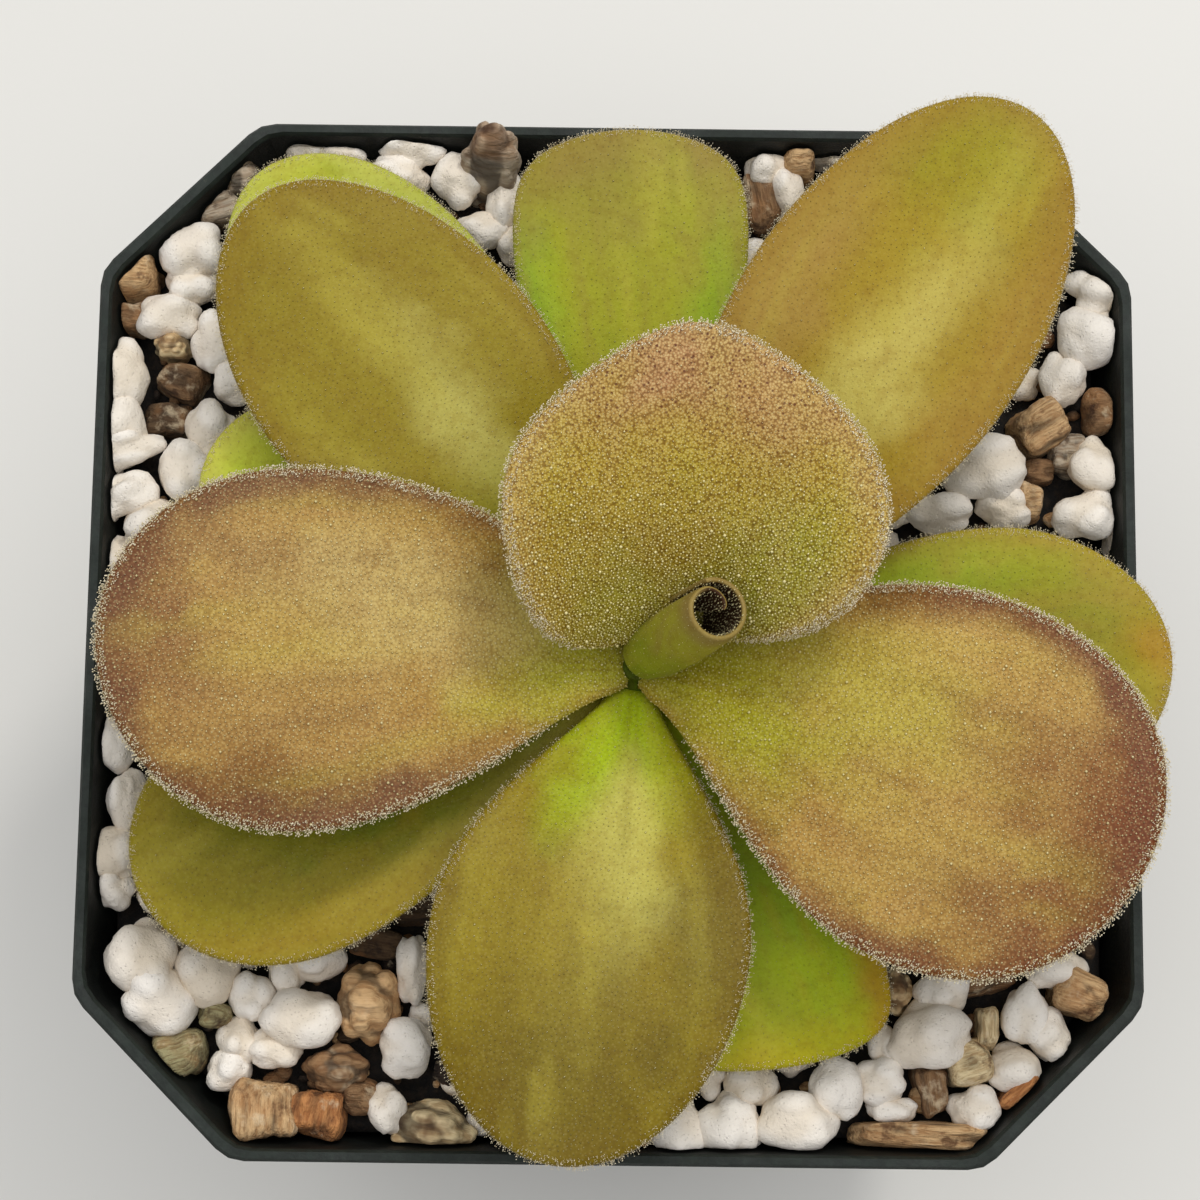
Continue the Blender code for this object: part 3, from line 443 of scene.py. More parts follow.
class Shader:
    """A Principled material, the colour laid on it so far and a short way to write its nodes."""

    def __init__(self, name, roughness, colour=None):
        self.material = bpy.data.materials.new(name)
        self.material.use_nodes = True
        self.tree = self.material.node_tree
        self.principled = self.tree.nodes["Principled BSDF"]
        self.set("Roughness", roughness)
        self.colour = colour

    def set(self, name, value):
        """A value or a link for one of the Principled shader's inputs."""
        self.join(self.principled.inputs[name], value)

    def join(self, socket, value):
        """Link a socket to another, or give it a value of its own."""
        if isinstance(value, bpy.types.NodeSocket):
            self.tree.links.new(value, socket)
        else:
            socket.default_value = value

    def node(self, kind, inputs, output=0, **settings):
        """An output of a new node; inputs are given by the name or number of their socket."""
        made = self.tree.nodes.new("ShaderNode" + kind)
        for setting, value in settings.items():
            setattr(made, setting, value)
        for socket, value in inputs.items():
            self.join(made.inputs[socket], value)
        return made.outputs[output]

    def attribute(self, name, output="Vector"):
        return self.node("Attribute", {}, output, attribute_name=name)

    def place(self):
        """Object coordinates in millimetres."""
        return self.scaled(self.node("TexCoord", {}, "Object"), (1000, 1000, 1000))

    def scaled(self, vector, scale):
        return self.node("VectorMath", {0: vector, 1: scale}, operation="MULTIPLY")

    def part(self, vector, axis):
        """One of the three numbers of a vector."""
        return self.node("SeparateXYZ", {0: vector}, axis)

    def noise(self, vector, scale, detail=4.0, roughness=0.6):
        inputs = {"Vector": vector, "Scale": scale, "Detail": detail, "Roughness": roughness}
        return self.node("TexNoise", inputs, "Fac")

    def cells(self, vector, scale):
        """Distance to the nearest of a field of scattered points."""
        return self.node("TexVoronoi", {"Vector": vector, "Scale": scale}, "Distance")

    def maths(self, operation, first, second):
        return self.node("Math", {0: first, 1: second}, operation=operation)

    def ramp(self, value, low, high, start=0.0, end=1.0):
        """start up to low, end from high on, and a smooth change between them."""
        inputs = {"Value": value, "From Min": low, "From Max": high, "To Min": start, "To Max": end}
        return self.node("MapRange", inputs, "Result", interpolation_type="SMOOTHSTEP")

    def mix(self, share, first, second, blend="MIX"):
        """Two colours mixed; a colour is a socket or a display colour."""
        first, second = (value if isinstance(value, bpy.types.NodeSocket) else linear(value)
                         for value in (first, second))
        return self.node("Mix", {0: share, 6: first, 7: second}, 2, data_type="RGBA", blend_type=blend)

    def lay(self, share, colour, blend="MIX"):
        """Lay a colour over what is there; share is a socket or what ramp takes."""
        if isinstance(share, tuple):
            share = self.ramp(*share)
        self.colour = self.mix(share, self.colour, colour, blend)

    def finished(self, specular=0.5, relief=None, depth=0.0):
        """The material with the colour laid so far and a relief from 0 to 1, depth in millimetres."""
        self.set("Base Color", self.colour)
        self.set("Specular IOR Level", specular)
        if relief is not None:
            self.set("Normal", self.node("Bump", {"Height": relief, "Distance": depth * MM, "Strength": 1.0}))
        return self.material


def leaf_tint(look, place, spots):
    """Colour of the blade at each point: base, patches, streaks along the veins and margin."""
    along, across, edge = np.moveaxis(place, -1, 0)
    wander = relief(spots, TINT_WANDER)
    layers = []
    for patch in map(Patch._make, look["patches"]):
        away = np.hypot((along - patch.along) / patch.reach_along,
                        (across - patch.across) / patch.reach_across)
        layers.append((patch.colour, patch.strength * smooth(away + 0.45 * wander, 1.15, 0.25)))
    veins = np.stack([along * 3.0, across * 5.0, along * 0], -1) + 0.5 * wander[..., None]
    streaks = noise(veins, 1.0, seed=13) + 0.6 * noise(veins * (2.2, 3.0, 1.0), 1.0, seed=14)
    layers.append((look["margin"], 0.32 * smooth(streaks, 0.0, 0.9)))
    layers.append((PALE_VEIN, 0.26 * smooth(streaks, 0.0, -0.9)))
    tipward = 0.1 + 0.9 * smooth(along, 0.05, 0.55)
    near = smooth(edge + 1.8 * wander, 3.4, 0.2)
    layers.append((look["margin"], look["margin_strength"] * near * tipward))
    tint = np.ones(place.shape[:-1] + (4,)) * linear(look["base"])
    for colour, share in layers:
        tint = between(tint, linear(colour), share[..., None])
    return tint


def leaf_material(name, look):
    """Blade: the tint with a fine mottling, pale gland feet and painted shade between them."""
    shader = Shader(name, 0.42)
    spot = shader.place()
    shader.colour = shader.attribute("tint", "Color")
    shader.lay((shader.noise(spot, 1.2, 5.0, 0.75), 0.34, 0.56, 0.40, 0.0), (218, 200, 168), "MULTIPLY")
    feet = shader.cells(spot, 1 / (look["glands"] * 0.8))
    grain = look["speckle"] ** 2
    shader.lay((feet, 0.12, 0.46, 0.42 * grain, 0.0), PALE_FOOT)
    # painted shade between the gland feet
    shader.lay((feet, 0.42, 0.78, 0.0, 0.70 * grain), GLAND_GAP_SHADE, "MULTIPLY")
    if look["dots"]:
        tipward = shader.ramp(shader.part(shader.attribute("place"), "X"), 0.45, 0.90)
        # dark red-brown dots towards the tip
        tip_dots = shader.ramp(shader.cells(spot, 2.4), 0.16, 0.30, look["dots"], 0.0)
        shader.lay(shader.maths("MULTIPLY", tip_dots, tipward), (92, 44, 24))
    return shader.finished(0.08 + 0.10 * look["speckle"], shader.noise(spot, 5.0, 1.0, 0.5), 0.03)


def gland_material(name, speckle):
    """The clear sticky drops on the glands, which take up the blade's colour, with a painted highlight."""
    shader = Shader(name, 0.18)
    shader.colour = shader.attribute("tint", "Color")
    tone = shader.attribute("tone", "Fac")
    # painted highlight: tone mixes the clear drops towards a pale colour
    shader.lay((tone, 0.0, 1.0, 0.25 * speckle, 0.15 + 0.65 * speckle), DROP_HIGHLIGHT)
    return shader.finished(0.6)


def hair_material():
    """Silvery margin hairs with their drops."""
    shader = Shader("margin_hairs", 0.28, (206, 184, 130))
    shader.lay(shader.attribute("tone", "Fac"), (252, 242, 214))
    return shader.finished(0.6)


def perlite_material():
    """White expanded glass: pitted, with warm and grey stains and painted shade in its pits and creases."""
    shader = Shader("perlite", 0.85, (242, 235, 225))
    spot = shader.place()
    shader.lay(shader.attribute("tone", "Fac"), (224, 209, 186))
    shader.lay((shader.noise(spot, 0.7), 0.54, 0.78, 0.0, 0.40), (206, 194, 176))
    pits = shader.cells(spot, 3.4)
    # painted shade in the pits
    shader.lay((pits, 0.05, 0.18, 0.30, 0.0), (158, 148, 136))
    rough = shader.maths("ADD", shader.noise(spot, 4.0), shader.ramp(pits, 0.0, 0.30, 0.0, 0.5))
    return shader.finished(relief=rough, depth=0.10)


def bark_material():
    """Bark: fine fibres along each chip, with paler and darker stretches."""
    shader = Shader("bark", 0.82)
    spot = shader.attribute("chip_place")
    fibres = shader.noise(shader.scaled(spot, (0.5, 4.2, 4.2)), 1.0)
    coarse = shader.noise(spot, 0.55, 4.0, 0.65)
    shader.colour = shader.attribute("tint", "Color")
    shader.lay((fibres, 0.36, 0.60, 0.70, 0.0), (182, 156, 126), "MULTIPLY")
    shader.lay((shader.noise(spot, 0.34, 2.0, 0.5), 0.50, 0.66, 0.0, 0.35), (176, 122, 72))
    shader.lay((coarse, 0.54, 0.70, 0.0, 0.55), (226, 206, 172))
    shader.lay((coarse, 0.30, 0.46, 0.85, 0.0), (120, 92, 66), "MULTIPLY")
    return shader.finished(relief=shader.maths("ADD", fibres, coarse), depth=0.34)


def soil_material():
    """Damp peat between the grains."""
    shader = Shader("peat", 0.8, (10, 8, 6))
    crumbs = shader.noise(shader.place(), 1.4, 6.0, 0.7)
    shader.lay((crumbs, 0.38, 0.70), (44, 33, 22))
    return shader.finished(relief=crumbs, depth=0.5)


def pot_material():
    """Thin blow-moulded plastic, green-black and scuffed; the rim top is painted paler than the inside, as
    lit.
    """
    shader = Shader("pot_plastic", 0.5, (9, 12, 10))
    spot = shader.place()
    mottle = shader.noise(spot, 0.25)
    shader.lay((mottle, 0.35, 0.65), (18, 22, 18))
    scuffs = shader.noise(shader.scaled(spot, (1.0, 1.0, 4.0)), 1.1, 5.0, 0.7)
    rim = shader.ramp(shader.part(spot, "Z"), POT_HEIGHT - 0.5, POT_HEIGHT - 0.1)
    lit_rim_share = shader.ramp(scuffs, 0.40, 0.62, 0.45, 0.95)
    # painted light: the top of the rim is paler than the inside, in patches that follow the scuffs
    shader.lay(shader.maths("MULTIPLY", rim, lit_rim_share), (33, 41, 35))
    shader.lay((scuffs, 0.66, 0.80, 0.0, 0.4), (88, 92, 80))
    shader.set("Roughness", shader.ramp(mottle, 0.3, 0.7, 0.50, 0.66))
    return shader.finished(0.3, shader.noise(spot, 1.1, 5.0, 0.7), 0.14)


def crown_material():
    """The stem: green above, brown and fibrous below, where old leaf bases were."""
    shader = Shader("crown", 0.6, (84, 64, 28))
    spot = shader.place()
    fibres = shader.noise(shader.scaled(spot, (2.2, 2.2, 0.5)), 1.0)
    level = shader.maths("ADD", shader.part(spot, "Z"), shader.maths("MULTIPLY", fibres, 4.0))
    shader.lay((level, 60.0, 68.0), (74, 88, 12))
    shader.lay((fibres, 0.35, 0.6, 0.45, 0.0), (56, 50, 18))
    return shader.finished(0.1, fibres, 0.25)


def floor_material():
    """A plain pale table top with a faint unevenness."""
    shader = Shader("floor", 0.55, (220, 218, 212))
    spot = shader.place()
    shader.lay(shader.noise(spot, 0.004, 2.0, 0.5), (226, 224, 218))
    return shader.finished(relief=shader.noise(spot, 0.6, 3.0, 0.5), depth=0.02)


def added(name, data):
    """A new object in the scene."""
    thing = bpy.data.objects.new(name, data)
    bpy.context.scene.collection.objects.link(thing)
    return thing


class Pile:
    """Triangles gathered from several shapes, with their attributes, for one mesh."""

    def __init__(self):
        self.points = []
        self.faces = []
        self.kinds = []
        self.values = {}
        self.count = 0

    def add(self, points, faces, kind=0, **values):
        """Points in millimetres; each value is one row, or an array with one row a point."""
        self.points.append(points)
        self.faces.append(faces + self.count)
        self.kinds.append(np.full(len(faces), kind, np.int32))
        for name, value in values.items():
            rows = np.asarray(value, float)
            if rows.ndim == 0 or len(rows) != len(points):
                rows = np.broadcast_to(rows, (len(points),) + rows.shape)
            self.values.setdefault(name, []).append(rows)
        self.count += len(points)

    def build(self, name, materials):
        """The mesh object, smooth shaded."""
        mesh = bpy.data.meshes.new(name)
        mesh.from_pydata((np.concatenate(self.points) * MM).tolist(), [],
                         np.concatenate(self.faces).tolist())
        for material in materials:
            mesh.materials.append(material)
        mesh.polygons.foreach_set("material_index", np.concatenate(self.kinds))
        mesh.shade_smooth()
        for key, rows in self.values.items():
            together = np.concatenate(rows)
            width = together.size // len(together)
            kind, field = {1: ("FLOAT", "value"), 3: ("FLOAT_VECTOR", "vector"),
                           4: ("FLOAT_COLOR", "color")}[width]
            mesh.attributes.new(key, kind, "POINT").data.foreach_set(field, together.ravel())
        mesh.update()
        return added(name, mesh)


def mesh_arrays(work):
    """Points and faces of a bmesh as arrays; the bmesh is freed."""
    points = np.array([vert.co for vert in work.verts])
    faces = np.array([[vert.index for vert in face.verts] for face in work.faces])
    work.free()
    return points, faces


def ball(detail):
    """Unit points and triangles of an icosphere."""
    work = bmesh.new()
    bmesh.ops.create_icosphere(work, subdivisions=detail, radius=1.0)
    return mesh_arrays(work)


def block(cuts):
    """Unit points and triangles of a cube cut into a grid on each side."""
    work = bmesh.new()
    bmesh.ops.create_cube(work, size=2.0)
    bmesh.ops.subdivide_edges(work, edges=work.edges[:], cuts=cuts, use_grid_fill=True)
    bmesh.ops.triangulate(work, faces=work.faces[:])
    return mesh_arrays(work)


OCTAHEDRON = (np.array([(1, 0, 0), (-1, 0, 0), (0, 1, 0), (0, -1, 0), (0, 0, 1), (0, 0, -1)], float),
              np.array([(0, 2, 4), (2, 1, 4), (1, 3, 4), (3, 0, 4),
                        (2, 0, 5), (1, 2, 5), (3, 1, 5), (0, 3, 5)]))
TETRAHEDRON = (np.array([(1, 1, 1), (-1, -1, 1), (-1, 1, -1), (1, -1, -1)]) / math.sqrt(3),
               np.array([(0, 1, 2), (0, 3, 1), (0, 2, 3), (1, 3, 2)]))


def copies(shape, centres, radii):
    """One shape set at many centres, each with its own radius."""
    points, faces = shape
    placed = centres[:, None] + points * radii[:, None, None]
    shifted = faces + (np.arange(len(centres)) * len(points))[:, None, None]
    return placed.reshape(-1, 3), shifted.reshape(-1, 3)


def camera_frame():
    """The photograph's camera: its place and its right, up and backward directions."""
    tilt = math.radians(CAMERA_TILT)
    roll = math.radians(CAMERA_ROLL)
    back = np.array([0.0, -math.sin(tilt), math.cos(tilt)])
    flat = np.array([1.0, 0.0, 0.0])
    steep = np.cross(back, flat)
    right = math.cos(roll) * flat + math.sin(roll) * steep
    up = math.cos(roll) * steep - math.sin(roll) * flat
    return np.array(CAMERA_TARGET) + back * CAMERA_DISTANCE, right, up, back


def photo_point(px, py, z):
    """The point at height z that the photograph shows at a pixel, in millimetres."""
    eye, right, up, back = camera_frame()
    middle = IMAGE_PIXELS / 2
    ray = right * (px - middle) / FOCAL_PIXELS + up * (middle - py) / FOCAL_PIXELS - back
    return eye + ray * ((z - eye[2]) / ray[2])


def chip_point(chip):
    """Where a chip of the photograph stands."""
    return photo_point(chip.px, chip.py, BED_TOP + chip.height * CHIP_AIM)


# A blade given by a grid: middle points, upward normals, place values and half thickness. Row 0 is
# its foot. Its margin is both outer columns and the last row.
Sheet = namedtuple("Sheet", "points normals place half_thick")


def leaf_surface(leaf, across, t, beyond):
    """A leaf's middle surface: points, upward normals, share of the length and distance from the midrib.

    across runs from -1 at the right margin to 1 at the left; t runs from 0 to 1 between the base
    and the widest place and, where beyond is true, from there to the tip.
    """
    steps = MIDRIB_STEPS
    share = np.linspace(0, 1, steps + 1)
    pitch = np.radians(between(*leaf["pitch"], share))
    az = np.radians(leaf["az"] + leaf["bend"] * share)
    along = np.stack([np.cos(pitch) * np.cos(az), np.cos(pitch) * np.sin(az), np.sin(pitch)], 1)
    middle = np.zeros((steps + 1, 3))
    middle[1:] = np.cumsum((along[1:] + along[:-1]) / 2 * leaf["length"] / steps, 0)
    reach = along_table(CROWN_PROFILE, leaf["z"]) + GAP + leaf["out"]
    reach += LEAF_MIDDLE / 2 * math.sin(pitch[0])
    seat = math.radians(leaf["az"] + leaf["seat"])
    middle += [CROWN_X + reach * math.cos(seat), CROWN_Y + reach * math.sin(seat), leaf["z"]]
    side = np.stack([-np.sin(az), np.cos(az), np.zeros_like(az)], 1)
    upper = np.cross(along, side)

    half = leaf["width"] / 2
    power = np.where(across < 0, *leaf["fill"])
    below = between(NECK / half, 1, np.sin(math.pi / 2 * np.maximum(t, 0)) ** power)
    below = below * np.where(t < 0, FOOT_NARROWING, 1.0)
    tip_along = t * np.sqrt(1 - across ** 2 / 2)
    fuller = 1 + leaf["square"] * tip_along ** 2
    tip_across = across * np.sqrt(np.maximum(1 - t ** 2 / 2, 0)) * fuller
    where = np.where(beyond, between(leaf["widest"], 1, tip_along), t * leaf["widest"])
    out = np.where(beyond, tip_across, across * below)
    distance = out * half * (1 + leaf["skew"] * np.sign(out))
    bend = np.radians(between(*leaf["cup"], where)) / half
    bend = np.where(np.abs(bend) < 1e-5, 1e-5, bend)
    turn = bend * distance
    place = where * steps
    low = np.clip(np.floor(place).astype(int), 0, steps - 1)
    part = (place - low)[..., None]

    def at(line):
        return line[low] * (1 - part) + line[low + 1] * part

    across_by, up_by = np.sin(turn)[..., None], (1 - np.cos(turn))[..., None]
    curve = bend[..., None]
    points = at(middle) + across_by / curve * at(side) + up_by / curve * at(upper)
    normals = unit(at(upper) * np.cos(turn)[..., None] - at(side) * across_by)
    return points, normals, where, distance


def margin_line(sheet):
    """Row and column indices along the margin, from the foot round the tip to the foot."""
    rows, columns = sheet.points.shape[:2]
    up = [(row, 0) for row in range(1, rows)]
    over = [(rows - 1, column) for column in range(1, columns - 1)]
    return np.array(up + over + [(row, columns - 1) for row in range(rows - 1, 0, -1)])


def add_blade(pile, sheet, upper, lower):
    """The closed blade, in an upper and a lower tint; its skins meet at the margin and the foot."""
    rows, columns = sheet.points.shape[:2]
    lift = sheet.normals * sheet.half_thick[..., None]
    top = (sheet.points + lift).reshape(-1, 3)
    bottom = (sheet.points - lift).reshape(-1, 3)
    index = np.arange(rows * columns).reshape(rows, columns)
    inner = np.zeros((rows, columns), bool)
    inner[1:-1, 1:-1] = True
    below = index.copy()
    below[inner] = rows * columns + np.arange(inner.sum())
    faces = []
    for grid, onward in ((index, 1), (below, -1)):
        a, b = grid[:-1, :-1].ravel(), grid[:-1, 1:].ravel()
        c, d = grid[1:, 1:].ravel(), grid[1:, :-1].ravel()
        faces += [np.stack(corners[::onward], 1) for corners in ((a, c, b), (a, d, c))]
    place = sheet.place.reshape(-1, 3)
    flat = inner.ravel()
    tints = np.concatenate([upper.reshape(-1, 4), lower.reshape(-1, 4)[flat]])
    pile.add(np.concatenate([top, bottom[flat]]), np.concatenate(faces), 0,
             place=np.concatenate([place, place[flat]]), tint=tints, tone=0.5)


def scattered(sheet, spacing, rng, side):
    """Points on one skin no closer than spacing, with their normals and places."""
    skin = sheet.points + sheet.normals * (sheet.half_thick * side)[..., None]
    a, b, c, d = skin[:-1, :-1], skin[:-1, 1:], skin[1:, 1:], skin[1:, :-1]
    area = np.linalg.norm(np.cross(c - a, d - b), axis=-1).ravel() / 2
    tries = int(area.sum() / spacing ** 2 * SPOT_TRIES)
    cell = rng.choice(len(area), size=tries, p=area / area.sum())
    row, column = np.divmod(cell, skin.shape[1] - 1)
    u, v = rng.random((2, tries, 1))

    def at(grid):
        low = grid[row, column] * (1 - v) + grid[row, column + 1] * v
        high = grid[row + 1, column] * (1 - v) + grid[row + 1, column + 1] * v
        return low * (1 - u) + high * u

    spots = at(skin)
    kept = spread(spots, spacing)
    return spots[kept], unit(at(sheet.normals))[kept] * side, at(sheet.place)[kept]


def spread(spots, spacing):
    """Indices of the spots that are kept when each has to be spacing from those before it."""
    steps = list(itertools.product((-1, 0, 1), repeat=3))
    taken = {}
    kept = []
    cells = np.floor(spots / spacing).astype(int).tolist()
    for number, (spot, (i, j, k)) in enumerate(zip(spots.tolist(), cells)):
        around = (other for di, dj, dk in steps for other in taken.get((i + di, j + dj, k + dk), ()))
        if all(math.dist(spot, other) >= spacing for other in around):
            taken.setdefault((i, j, k), []).append(spot)
            kept.append(number)
    return kept


def add_glands(pile, sheet, spacing, rng, tinted, radius, side=1.0, shape=TETRAHEDRON, fading=0.0):
    """Drops that sit on the skin, each on the hidden stalk of its gland.

    tinted gives their colours; fading is how much smaller and duller they are at the tip.
    """
    spots, normals, place = scattered(sheet, spacing, rng, side)
    faded = 1 - fading * smooth(place[:, 0], 0.45, 0.85)
    radii = radius * rng.uniform(*GLAND_VARIES, len(spots)) * faded
    tone = rng.random(len(spots)) ** 1.6 * faded
    # a few drops are swollen and get the full pale tone, a painted glint
    sparkling = rng.random(len(spots)) < SPARKLE_SHARE
    radii = np.where(sparkling, radii * SPARKLE_SWELL, radii)
    tone = np.where(sparkling, SPARKLE_TONE, tone)
    points, faces = copies(shape, spots + normals * radii[:, None] * GLAND_LIFT, radii)
    values = dict(place=place, tint=tinted(place, spots), tone=tone)
    each = len(shape[0])
    pile.add(points, faces, 1, **{key: np.repeat(rows, each, 0) for key, rows in values.items()})


def add_fringe(pile, sheet, rng, tinted, spacing, head):
    """Hairs with small drops that stand along the margin and on the last stretch before it."""
    ring = tuple(margin_line(sheet).T)
    line, normals, places = sheet.points[ring], sheet.normals[ring], sheet.place[ring]
    travel = np.append(0, np.cumsum(np.linalg.norm(np.diff(line, axis=0), axis=1)))
    tangents = unit(np.gradient(line, axis=0))
    outward = unit(np.cross(tangents, normals))
    where = np.sort(rng.uniform(0, travel[-1], int(travel[-1] / spacing * FRINGE_TRIES)))
    share = np.interp(where, travel, places[:, 0])
    where = where[share > rng.uniform(*FRINGE_FROM, len(where))]
    count = len(where)

    def at(values):
        return np.stack([np.interp(where, travel, axis) for axis in values.T], 1)

    inward = rng.random(count) ** 1.3
    tilt = between(*FRINGE_TILT, inward) + rng.normal(0, FRINGE_TILT_SPREAD, count)
    tilt = np.radians(tilt)[:, None]
    out, upward, beside = unit(at(outward)), unit(at(normals)), unit(at(tangents))
    lift = LEAF_EDGE / 2 * np.sqrt(inward)
    roots = at(line) - out * (inward * FRINGE_DEPTH)[:, None] + upward * lift[:, None]
    heading = out * np.cos(tilt) + upward * np.sin(tilt)
    heading = unit(heading + beside * rng.normal(0, FRINGE_LEAN, count)[:, None])
    tips = roots + heading * rng.uniform(*FRINGE_LENGTH, count)[:, None]
    first = unit(np.cross(heading, beside + 0.3 * upward))
    second = np.cross(heading, first)
    corners = [roots + (first * math.cos(angle) + second * math.sin(angle)) * HAIR_RADIUS
               for angle in (0.0, 2 * math.pi / 3, 4 * math.pi / 3)]
    points = np.stack(corners + [tips], 1).reshape(-1, 3)
    faces = np.array([(0, 1, 3), (1, 2, 3), (2, 0, 3), (0, 2, 1)])
    shifted = (faces + (np.arange(count) * 4)[:, None, None]).reshape(-1, 3)
    tone = np.repeat(rng.random(count), 4)
    values = dict(place=np.repeat(at(places), 4, 0), tint=np.repeat(tinted(at(places), roots), 4, 0))
    pile.add(points, shifted, 2, tone=tone * 0.6, **values)
    heads, faces = copies(TETRAHEDRON, tips, head * rng.uniform(*HEAD_VARIES, count))
    pile.add(heads, faces, 2, tone=0.4 + 0.6 * tone, **values)


def half_thickness(thick, edge, rounding):
    """Half a blade's thickness, rounded off near its edge and closed at its foot."""
    near = 1 - np.clip(edge / rounding, 0, 1)
    half = thick / 2 * np.sqrt(np.maximum(1 - near ** 2, 0))
    half[0] = 0
    return half


def leaf_sheet(leaf):
    """The fine grid of one leaf."""
    base_rows, tip_rows = BLADE_ROWS
    start = -BASE_REACH / (leaf["widest"] * leaf["length"])
    base = np.concatenate([[start, start * 0.8], np.linspace(0, 1, base_rows)])
    tip = np.sin(np.linspace(0, 1, tip_rows + 1)[1:] * math.pi / 2)
    across, t = np.meshgrid(crowded(BLADE_COLUMNS), np.concatenate([base, tip]))
    beyond = np.zeros_like(t, dtype=bool)
    beyond[len(base):] = True
    points, normals, where, distance = leaf_surface(leaf, across, t, beyond)
    edge = margin_distance(np.stack([where * leaf["length"], distance], -1))
    middle_share = np.maximum(np.abs(across) ** 2, np.where(beyond, t ** 3, 0))
    thick = between(LEAF_MIDDLE, LEAF_EDGE, middle_share)
    waves = relief(points, LEAF_WAVES) * np.clip(where * 5, 0, 1)
    points = points + normals * waves[..., None]
    place = np.stack([where, across, edge], -1)
    return Sheet(points, normals, place, half_thickness(thick, edge, LEAF_ROUNDING))


def margin_distance(flat):
    """Distance of each grid point to the margin in the leaf's own plane."""
    line = np.concatenate([flat[1:, 0], flat[-1, 1:], flat[1:-1, -1][::-1]])
    best = np.full(flat.shape[:2], 1e9)
    for start, end in zip(line[:-1], line[1:]):
        edge = end - start
        share = np.clip(((flat - start) @ edge) / max(edge @ edge, 1e-12), 0, 1)
        best = np.minimum(best, np.linalg.norm(flat - start - share[..., None] * edge, axis=-1))
    return best


def make_leaf(name, leaf, hairs, seed):
    """One leaf with its glands and margin hairs; it stands for the node of that name."""
    rng = np.random.default_rng(seed)
    sheet = leaf_sheet(leaf)
    pile = Pile()

    def tinted(place, spots):
        return leaf_tint(leaf, place, spots)

    upper = tinted(sheet.place, sheet.points)
    add_blade(pile, sheet, upper, between(upper, linear(UNDERSIDE), 0.5))
    full = leaf["speckle"] > 0.5
    add_glands(pile, sheet, leaf["glands"], rng, tinted, between(*GLAND_RADIUS, leaf["speckle"]),
               shape=OCTAHEDRON if full else TETRAHEDRON, fading=0.6 * leaf["dots"])
    add_fringe(pile, sheet, rng, tinted, FRINGE_FULL if full else FRINGE_SPACING, HAIR_HEAD[int(full)])
    piece = pile.build(name + "_blade", [leaf_material(name + "_blade", leaf),
                                         gland_material(name + "_glands", leaf["speckle"]), hairs])
    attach(piece, "root")
    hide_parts(name)


def roll_sheet():
    """The fine grid of the rolled leaf: rows from foot to mouth, columns round the scroll."""
    foot = np.array(ROLL_FOOT)
    mouth = np.array(ROLL_MOUTH)
    height = np.linalg.norm(mouth - foot)
    axis = (mouth - foot) / height
    east = unit(np.cross([0.0, 1.0, 0.0], axis))
    north = np.cross(axis, east)
    share = np.sin(np.linspace(0, 1, ROLL_ROWS) * math.pi / 2)
    wound, level = np.meshgrid((1 - crowded(ROLL_COLUMNS)) / 2, share)
    wider = np.maximum(0, level - ROLL_OPENING) / (1 - ROLL_OPENING)
    turns = between(*ROLL_TURNS, wider)
    travelled = wound * turns
    angle = (math.radians(ROLL_START) - travelled * 2 * math.pi)[..., None]
    out = along_table(ROLL_RADIUS, level) * along_table(ROLL_WIND, travelled)
    outward = np.cos(angle) * east + np.sin(angle) * north
    points = foot + axis * (level * height)[..., None] + out[..., None] * outward
    length = np.minimum(wound, 1 - wound) * turns * 2 * math.pi * out
    edge = np.minimum(length, (1 - level) * height)
    place = np.stack([level, wound * 2 - 1, edge], -1)
    return Sheet(points, -outward, place, half_thickness(ROLL_WALL, edge, ROLL_WALL * 0.6))


def make_roll(hairs):
    """The youngest leaf, its gland-covered upper face inside."""
    rng = np.random.default_rng(SEED + 50)
    sheet = roll_sheet()
    pile = Pile()

    def outside(place, spots):
        return leaf_tint(ROLL_LOOK, place, spots)

    def inside(place, spots):
        # painted shade: the inner face darkens away from the margin and in the inner turns of the scroll
        deep = np.maximum(smooth(place[..., 2], 0.0, 0.35), smooth(place[..., 1], 0.25, 0.55))
        return between(outside(place, spots), linear(ROLL_INSIDE_SHADE), deep[..., None])

    add_blade(pile, sheet, inside(sheet.place, sheet.points), outside(sheet.place, sheet.points))
    add_glands(pile, sheet, ROLL_LOOK["glands"], rng, inside, GLAND_RADIUS[1])
    add_glands(pile, sheet, ROLL_OUTER_GLANDS, rng, outside, GLAND_RADIUS[0], side=-1.0)
    piece = pile.build("young_leaf_scroll", [leaf_material("roll_blade", ROLL_LOOK),
                                             gland_material("roll_glands", 0.8), hairs])
    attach(piece, "root")
    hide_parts("young_leaf_rolled")


def outline(half, z, count=20):
    """The pot's eight-sided outline at one height, count points a side."""
    cut = half * CHAMFER_SHARE
    corners = []
    for turn in range(4):
        angle = math.radians(90 * turn)
        for x, y in ((half, -(half - cut)), (half, half - cut)):
            corners.append((x * math.cos(angle) - y * math.sin(angle),
                            x * math.sin(angle) + y * math.cos(angle), z))
    corners = np.array(corners)
    onward = np.roll(corners, -1, axis=0)
    share = np.arange(count) / count
    return between(corners[:, None], onward[:, None], share[:, None]).reshape(-1, 3)


def lofted(rings):
    """Points and triangles through rings of equal count, closed by a point at each end."""
    count = len(rings[0])
    points = np.concatenate(rings + [rings[0].mean(0)[None], rings[-1].mean(0)[None]])
    index = np.arange(count)
    other = (index + 1) % count
    last = (len(rings) - 1) * count
    faces = []
    for low in range(0, last, count):
        high = low + count
        faces.append(np.stack([low + index, low + other, high + other], 1))
        faces.append(np.stack([low + index, high + other, high + index], 1))
    faces.append(np.stack([np.full(count, len(points) - 2), other, index], 1))
    faces.append(np.stack([np.full(count, len(points) - 1), last + index, last + other], 1))
    return points, np.concatenate(faces)


